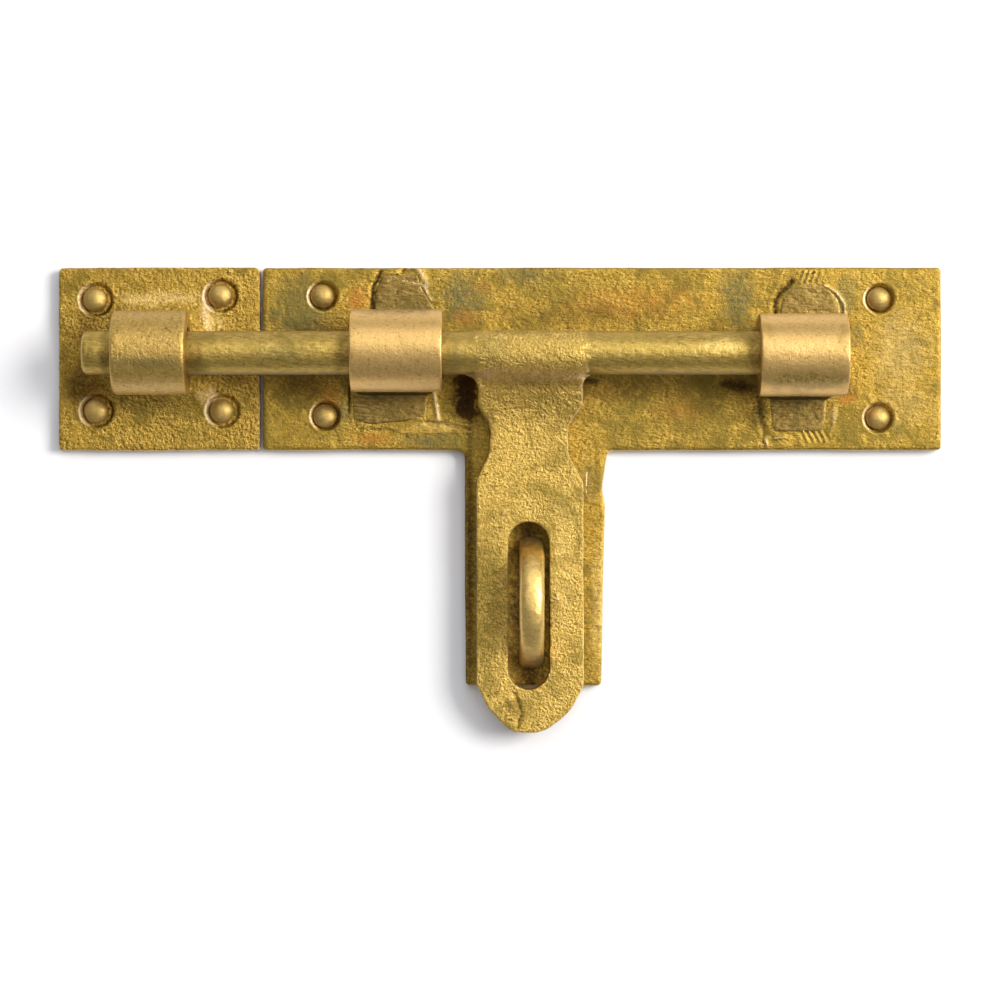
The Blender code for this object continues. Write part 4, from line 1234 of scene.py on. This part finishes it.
@dataclass
class Hasp:
    """The cast hasp: head brazed to the bolt, waist, slotted leaf and blunt tip."""

    finish: bpy.types.Material
    voxel: float = 0.25
    uneven: tuple[Point, ...] = ((14.0, 0.30), (3.0, 0.22), (1.4, 0.16), (0.75, 0.12))
    back: float = 3.9
    front: float = 8.4
    axis: float = 13.8
    head_end: float = 11.4
    waist: float = 17.6
    slot_width: float = 9.35
    slot_offset: float = -0.28
    slot_ends: Point = (-75.4, -37.8)
    bolt_radius: float = 4.875
    braze: float = 0.20
    braze_start: float = 10.4
    braze_run: float = 4.6
    braze_sunk: float = 0.35
    collar_reach: Point = (5.0, 5.5)
    collar_taper: float = 5.0
    fillet_span: Point = (8.4, 12.8)
    fillets: Point = (3.0, 2.3)
    slope_foot: float = -17.6
    slope_run: float = 8.5
    slope_rise: float = 2.7

    def outline(self, box: Box) -> list[Corner]:
        """The hasp's plan, anticlockwise from the head's upper left."""
        left, right, tip, waist = box.low.x, box.high.x, box.low.y, self.waist / 2
        return [
            Corner(left + 0.2, -2.0), Corner(left + 0.2, -self.head_end, 2.6),
            Corner(-waist - 0.3, -16.6, 3.6), Corner(-waist - 0.3, -22.2, 4.6),
            Corner(left, -28.4, 2.0), Corner(left, tip + 10.8, 3.0), Corner(-9.6, tip + 5.6, 8.0),
            Corner(-4.0, tip, 5.0), Corner(3.0, tip, 7.0), Corner(9.0, tip + 4.6, 8.0),
            Corner(right, tip + 10.6, 3.0), Corner(right, -28.8, 2.0),
            Corner(waist - 0.3, -22.6, 4.6), Corner(waist - 0.3, -16.2, 3.2),
            Corner(right - 0.1, -self.head_end, 2.0), Corner(right - 0.1, -2.0),
        ]

    def leaf(self, box: Box) -> bmesh.types.BMesh:
        """The slotted leaf, whose top rises towards the head, so that the waist thickens evenly."""
        radius = self.slot_width / 2
        slot = (self.slot_offset, radius, self.slot_ends[0] + radius, self.slot_ends[1] - radius)
        leaf = raise_shell(shell_of(self.outline(box), slot), self.back, self.front, 0.85, 0.4)
        for step in range(8):
            bmesh.ops.bisect_plane(leaf, geom=[*leaf.verts, *leaf.edges, *leaf.faces], plane_no=(0, 1, 0),
                                   plane_co=(0, self.slope_foot + 1.2 * step, 0))
        for vert in leaf.verts:
            if self.on_top(vert.co):
                share = clamped((vert.co.y - self.slope_foot) / self.slope_run)
                vert.co.z += self.slope_rise * share * share
        return leaf

    def head(self, box: Box) -> bmesh.types.BMesh:
        """The head's side view, drawn across the width: it rises from the leaf and laps over the bolt."""
        radius, start, foot = self.bolt_radius, box.low.x + 0.15, self.back + 0.2
        side = ((1.0, foot), (1.0, self.axis - radius), (0.0, self.axis + radius * 0.8),
                (-radius * 0.70, self.axis + radius * 0.62), (-radius * 1.05, self.axis + 0.9),
                (-radius - 2.0, self.axis - 1.6), (-self.head_end, self.front + 1.3), (-self.head_end, foot))
        return prism(((start, y, z) for y, z in side), (box.size.x - 0.4, 0, 0))

    def collar(self, box: Box) -> bmesh.types.BMesh:
        """The braze round the bolt, which sinks into it to either side of the head."""
        radius, taper = self.bolt_radius + self.braze, self.collar_taper
        left, right = box.low.x - self.collar_reach[0], box.high.x + self.collar_reach[1]
        profile: list[Point] = [(0.0, left), (radius - 0.6, left), (radius, left + taper),
                                (radius, right - taper), (radius - 0.6, right), (0.0, right)]
        bm = turned(profile, 64)
        bmesh.ops.translate(bm, verts=bm.verts, vec=(0, 0, self.axis))
        return bm

    def fillet(self, x: float, reach: float) -> bmesh.types.BMesh:
        """The rounded web in the corner between the bolt and one side of the head."""
        size, out = abs(reach), math.copysign(1.0, reach)
        corner = (x + reach, -self.bolt_radius - size)
        plan = [(x - out, 0.0), (x - out, corner[1])]
        for turn in (math.radians(11.25 * step) for step in range(9)):
            plan.append((corner[0] - out * size * math.cos(turn), corner[1] + size * math.sin(turn)))
        plan += [(x + reach, -self.bolt_radius + 1.2), (x + reach * 0.5, 0.0)]
        low, high = self.fillet_span
        return prism(((*point, low) for point in plan), (0, 0, high - low))

    def on_top(self, place: Vector) -> bool:
        """True on the hasp's upper side."""
        return place.z > self.front - 1.0

    def past_head(self, place: Vector) -> float:
        """How far along the braze, from 0 at the head to 1 where it has thinned out on the bolt."""
        radial = math.hypot(place.y, place.z - self.axis)
        if radial > self.bolt_radius + 1.0 or place.z < self.axis - self.bolt_radius * 0.6:
            return 0.0
        wander = 1.5 * noise.noise(place * 0.45)
        return clamped((abs(place.x) + wander - self.braze_start) / self.braze_run)

    def settle(self, place: Vector) -> Vector:
        """Thins the braze out evenly until it lies inside the bolt."""
        share = self.past_head(place)
        radial = Vector((0.0, place.y, place.z - self.axis))
        wanted = self.bolt_radius + self.braze - share * (self.braze + self.braze_sunk)
        return radial.normalized() * (wanted - radial.length) * share

    def lumpy(self, place: Vector) -> Vector:
        """The few casting bumps on the leaf."""
        return Vector((0.0, 0.0, total(HASP_STROKES, "height", place) if self.on_top(place) else 0.0))

    def build(self) -> None:
        """Joins the parts of the hasp under one cast skin."""
        box = Box.of("hasp")
        left = self.fillet(box.low.x + 0.2, -self.fillets[0])
        right = self.fillet(box.high.x - 0.2, self.fillets[1])
        shells = join(self.leaf(box), self.head(box), self.collar(box), left, right)
        piece = Piece("hasp_leaf", shells).skin(self.voxel, 5).bake()
        piece.ease(lambda place: place.y > -18.5 and self.on_top(place), 24)
        piece.sculpt(self.lumpy).rough(*self.uneven).sculpt(self.settle)
        piece.paint(lambda place: total(HASP_STROKES, "tone", place))
        piece.mark("calm", [self.past_head(vert.co / MM) for vert in piece.obj.data.vertices])
        piece.place("hasp", "hasp", self.finish, "cast_brass")


# ------------------------------------------------------------------ studio


@dataclass
class Studio:
    """White table, soft lights and the camera straight above."""

    aim: Point = (-6.75, -32.85)
    distance: float = 750.0
    plane: float = 3.0
    view_width: float = 226.4
    sensor: float = 36.0
    table_half: float = 3.0
    table_drop: float = 0.0002
    table_white: Colour = (0.86, 0.855, 0.865)
    room_white: Colour = (0.97, 0.97, 1.0)
    bright_side: Colour = (0.30, 0.50, 0.80)
    room_range: Point = (0.28, 0.58)

    def add(self, name: str, data: bpy.types.ID, location: Sequence[float]) -> bpy.types.Object:
        """Adds an object to the scene."""
        obj = bpy.data.objects.new(name, data)
        obj.location = location
        bpy.context.scene.collection.objects.link(obj)
        return obj

    def camera(self) -> None:
        """Looks straight down at the latch."""
        data = bpy.data.cameras.new("camera")
        data.sensor_width = self.sensor
        data.lens = self.sensor * self.distance / self.view_width
        data.clip_start, data.clip_end = 0.05, 20.0
        place = (self.aim[0] * MM, self.aim[1] * MM, (self.plane + self.distance) * MM)
        bpy.context.scene.camera = self.add("camera", data, place)

    def table(self) -> None:
        """A wide white table under the latch."""
        bm = bmesh.new()
        bmesh.ops.create_grid(bm, x_segments=2, y_segments=2, size=self.table_half)
        mesh = bpy.data.meshes.new("table")
        bm.to_mesh(mesh)
        bm.free()
        white = bpy.data.materials.new("table_white")
        Graph(white).finish(base_color=self.table_white, roughness=0.85)
        mesh.materials.append(white)
        self.add("table", mesh, (0.0, 0.0, -self.table_drop))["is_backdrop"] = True

    def light(self, name: str, place: Sequence[float], size: float, power: float, colour: Colour) -> None:
        """A square soft light aimed at the latch."""
        data = bpy.data.lights.new(name, "AREA")
        data.shape, data.size, data.energy, data.color = "SQUARE", size, power, colour
        lamp = self.add(name, data, place)
        target = Vector((self.aim[0] * MM, self.aim[1] * MM, 0.0))
        lamp.rotation_euler = (target - Vector(place)).to_track_quat("-Z", "Y").to_euler()

    def room(self) -> None:
        """A pale room that is brighter towards the upper right, so that round pieces shade softly."""
        world = bpy.data.worlds.new("room")
        graph = Graph(world)
        coords = graph.node("ShaderNodeTexCoord", output="Generated")
        facing = graph.vector("DOT_PRODUCT", coords, Vector(self.bright_side).normalized(), output="Value")
        dim, bright = self.room_range
        values = {"Value": facing, "From Min": -0.2, "To Min": dim, "To Max": bright}
        share = graph.node("ShaderNodeMapRange", {}, values, "Result")
        air = graph.node("ShaderNodeBackground", {}, {"Color": self.room_white, "Strength": share})
        graph.node("ShaderNodeOutputWorld", {}, {"Surface": air})
        bpy.context.scene.world = world

    def build(self) -> None:
        """Sets up the whole studio."""
        self.camera()
        self.table()
        self.light("key", (1.61, 0.42, 1.54), 1.02, 55.0, (1.0, 0.985, 0.96))
        self.light("sky", (0.05, 0.80, 1.20), 1.5, 8.0, (0.98, 0.985, 1.0))
        self.room()
        bpy.context.scene.view_settings.view_transform = "Standard"


def main() -> None:
    """Builds every sub-assembly in order, then the studio."""
    logging.basicConfig(level=logging.INFO, format="%(name)s: %(message)s")
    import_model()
    frame_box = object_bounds()
    FRAME_BOX.extend(frame_box)
    plate, keeper_cast, hasp_cast = PLATE.build(), KEEPER_CAST.build(), HASP_CAST.build()
    barrel, sleeve, saddle = BARREL.build(), SLEEVE.build(), SADDLE.build()
    bolt, staple, nail = BOLT.build(), STAPLE.build(), NAIL.build()
    BackPlate(plate).build()
    Guide("left", barrel, saddle, LEFT_SADDLE).build()
    Guide("right", barrel, saddle, RIGHT_SADDLE).build()
    Staple(staple).build()
    Nails(nail).build()
    Keeper(keeper_cast, sleeve).build()
    DrawBolt(bolt).build()
    Hasp(hasp_cast).build()
    Studio().build()


if __name__ == "__main__":
    main()
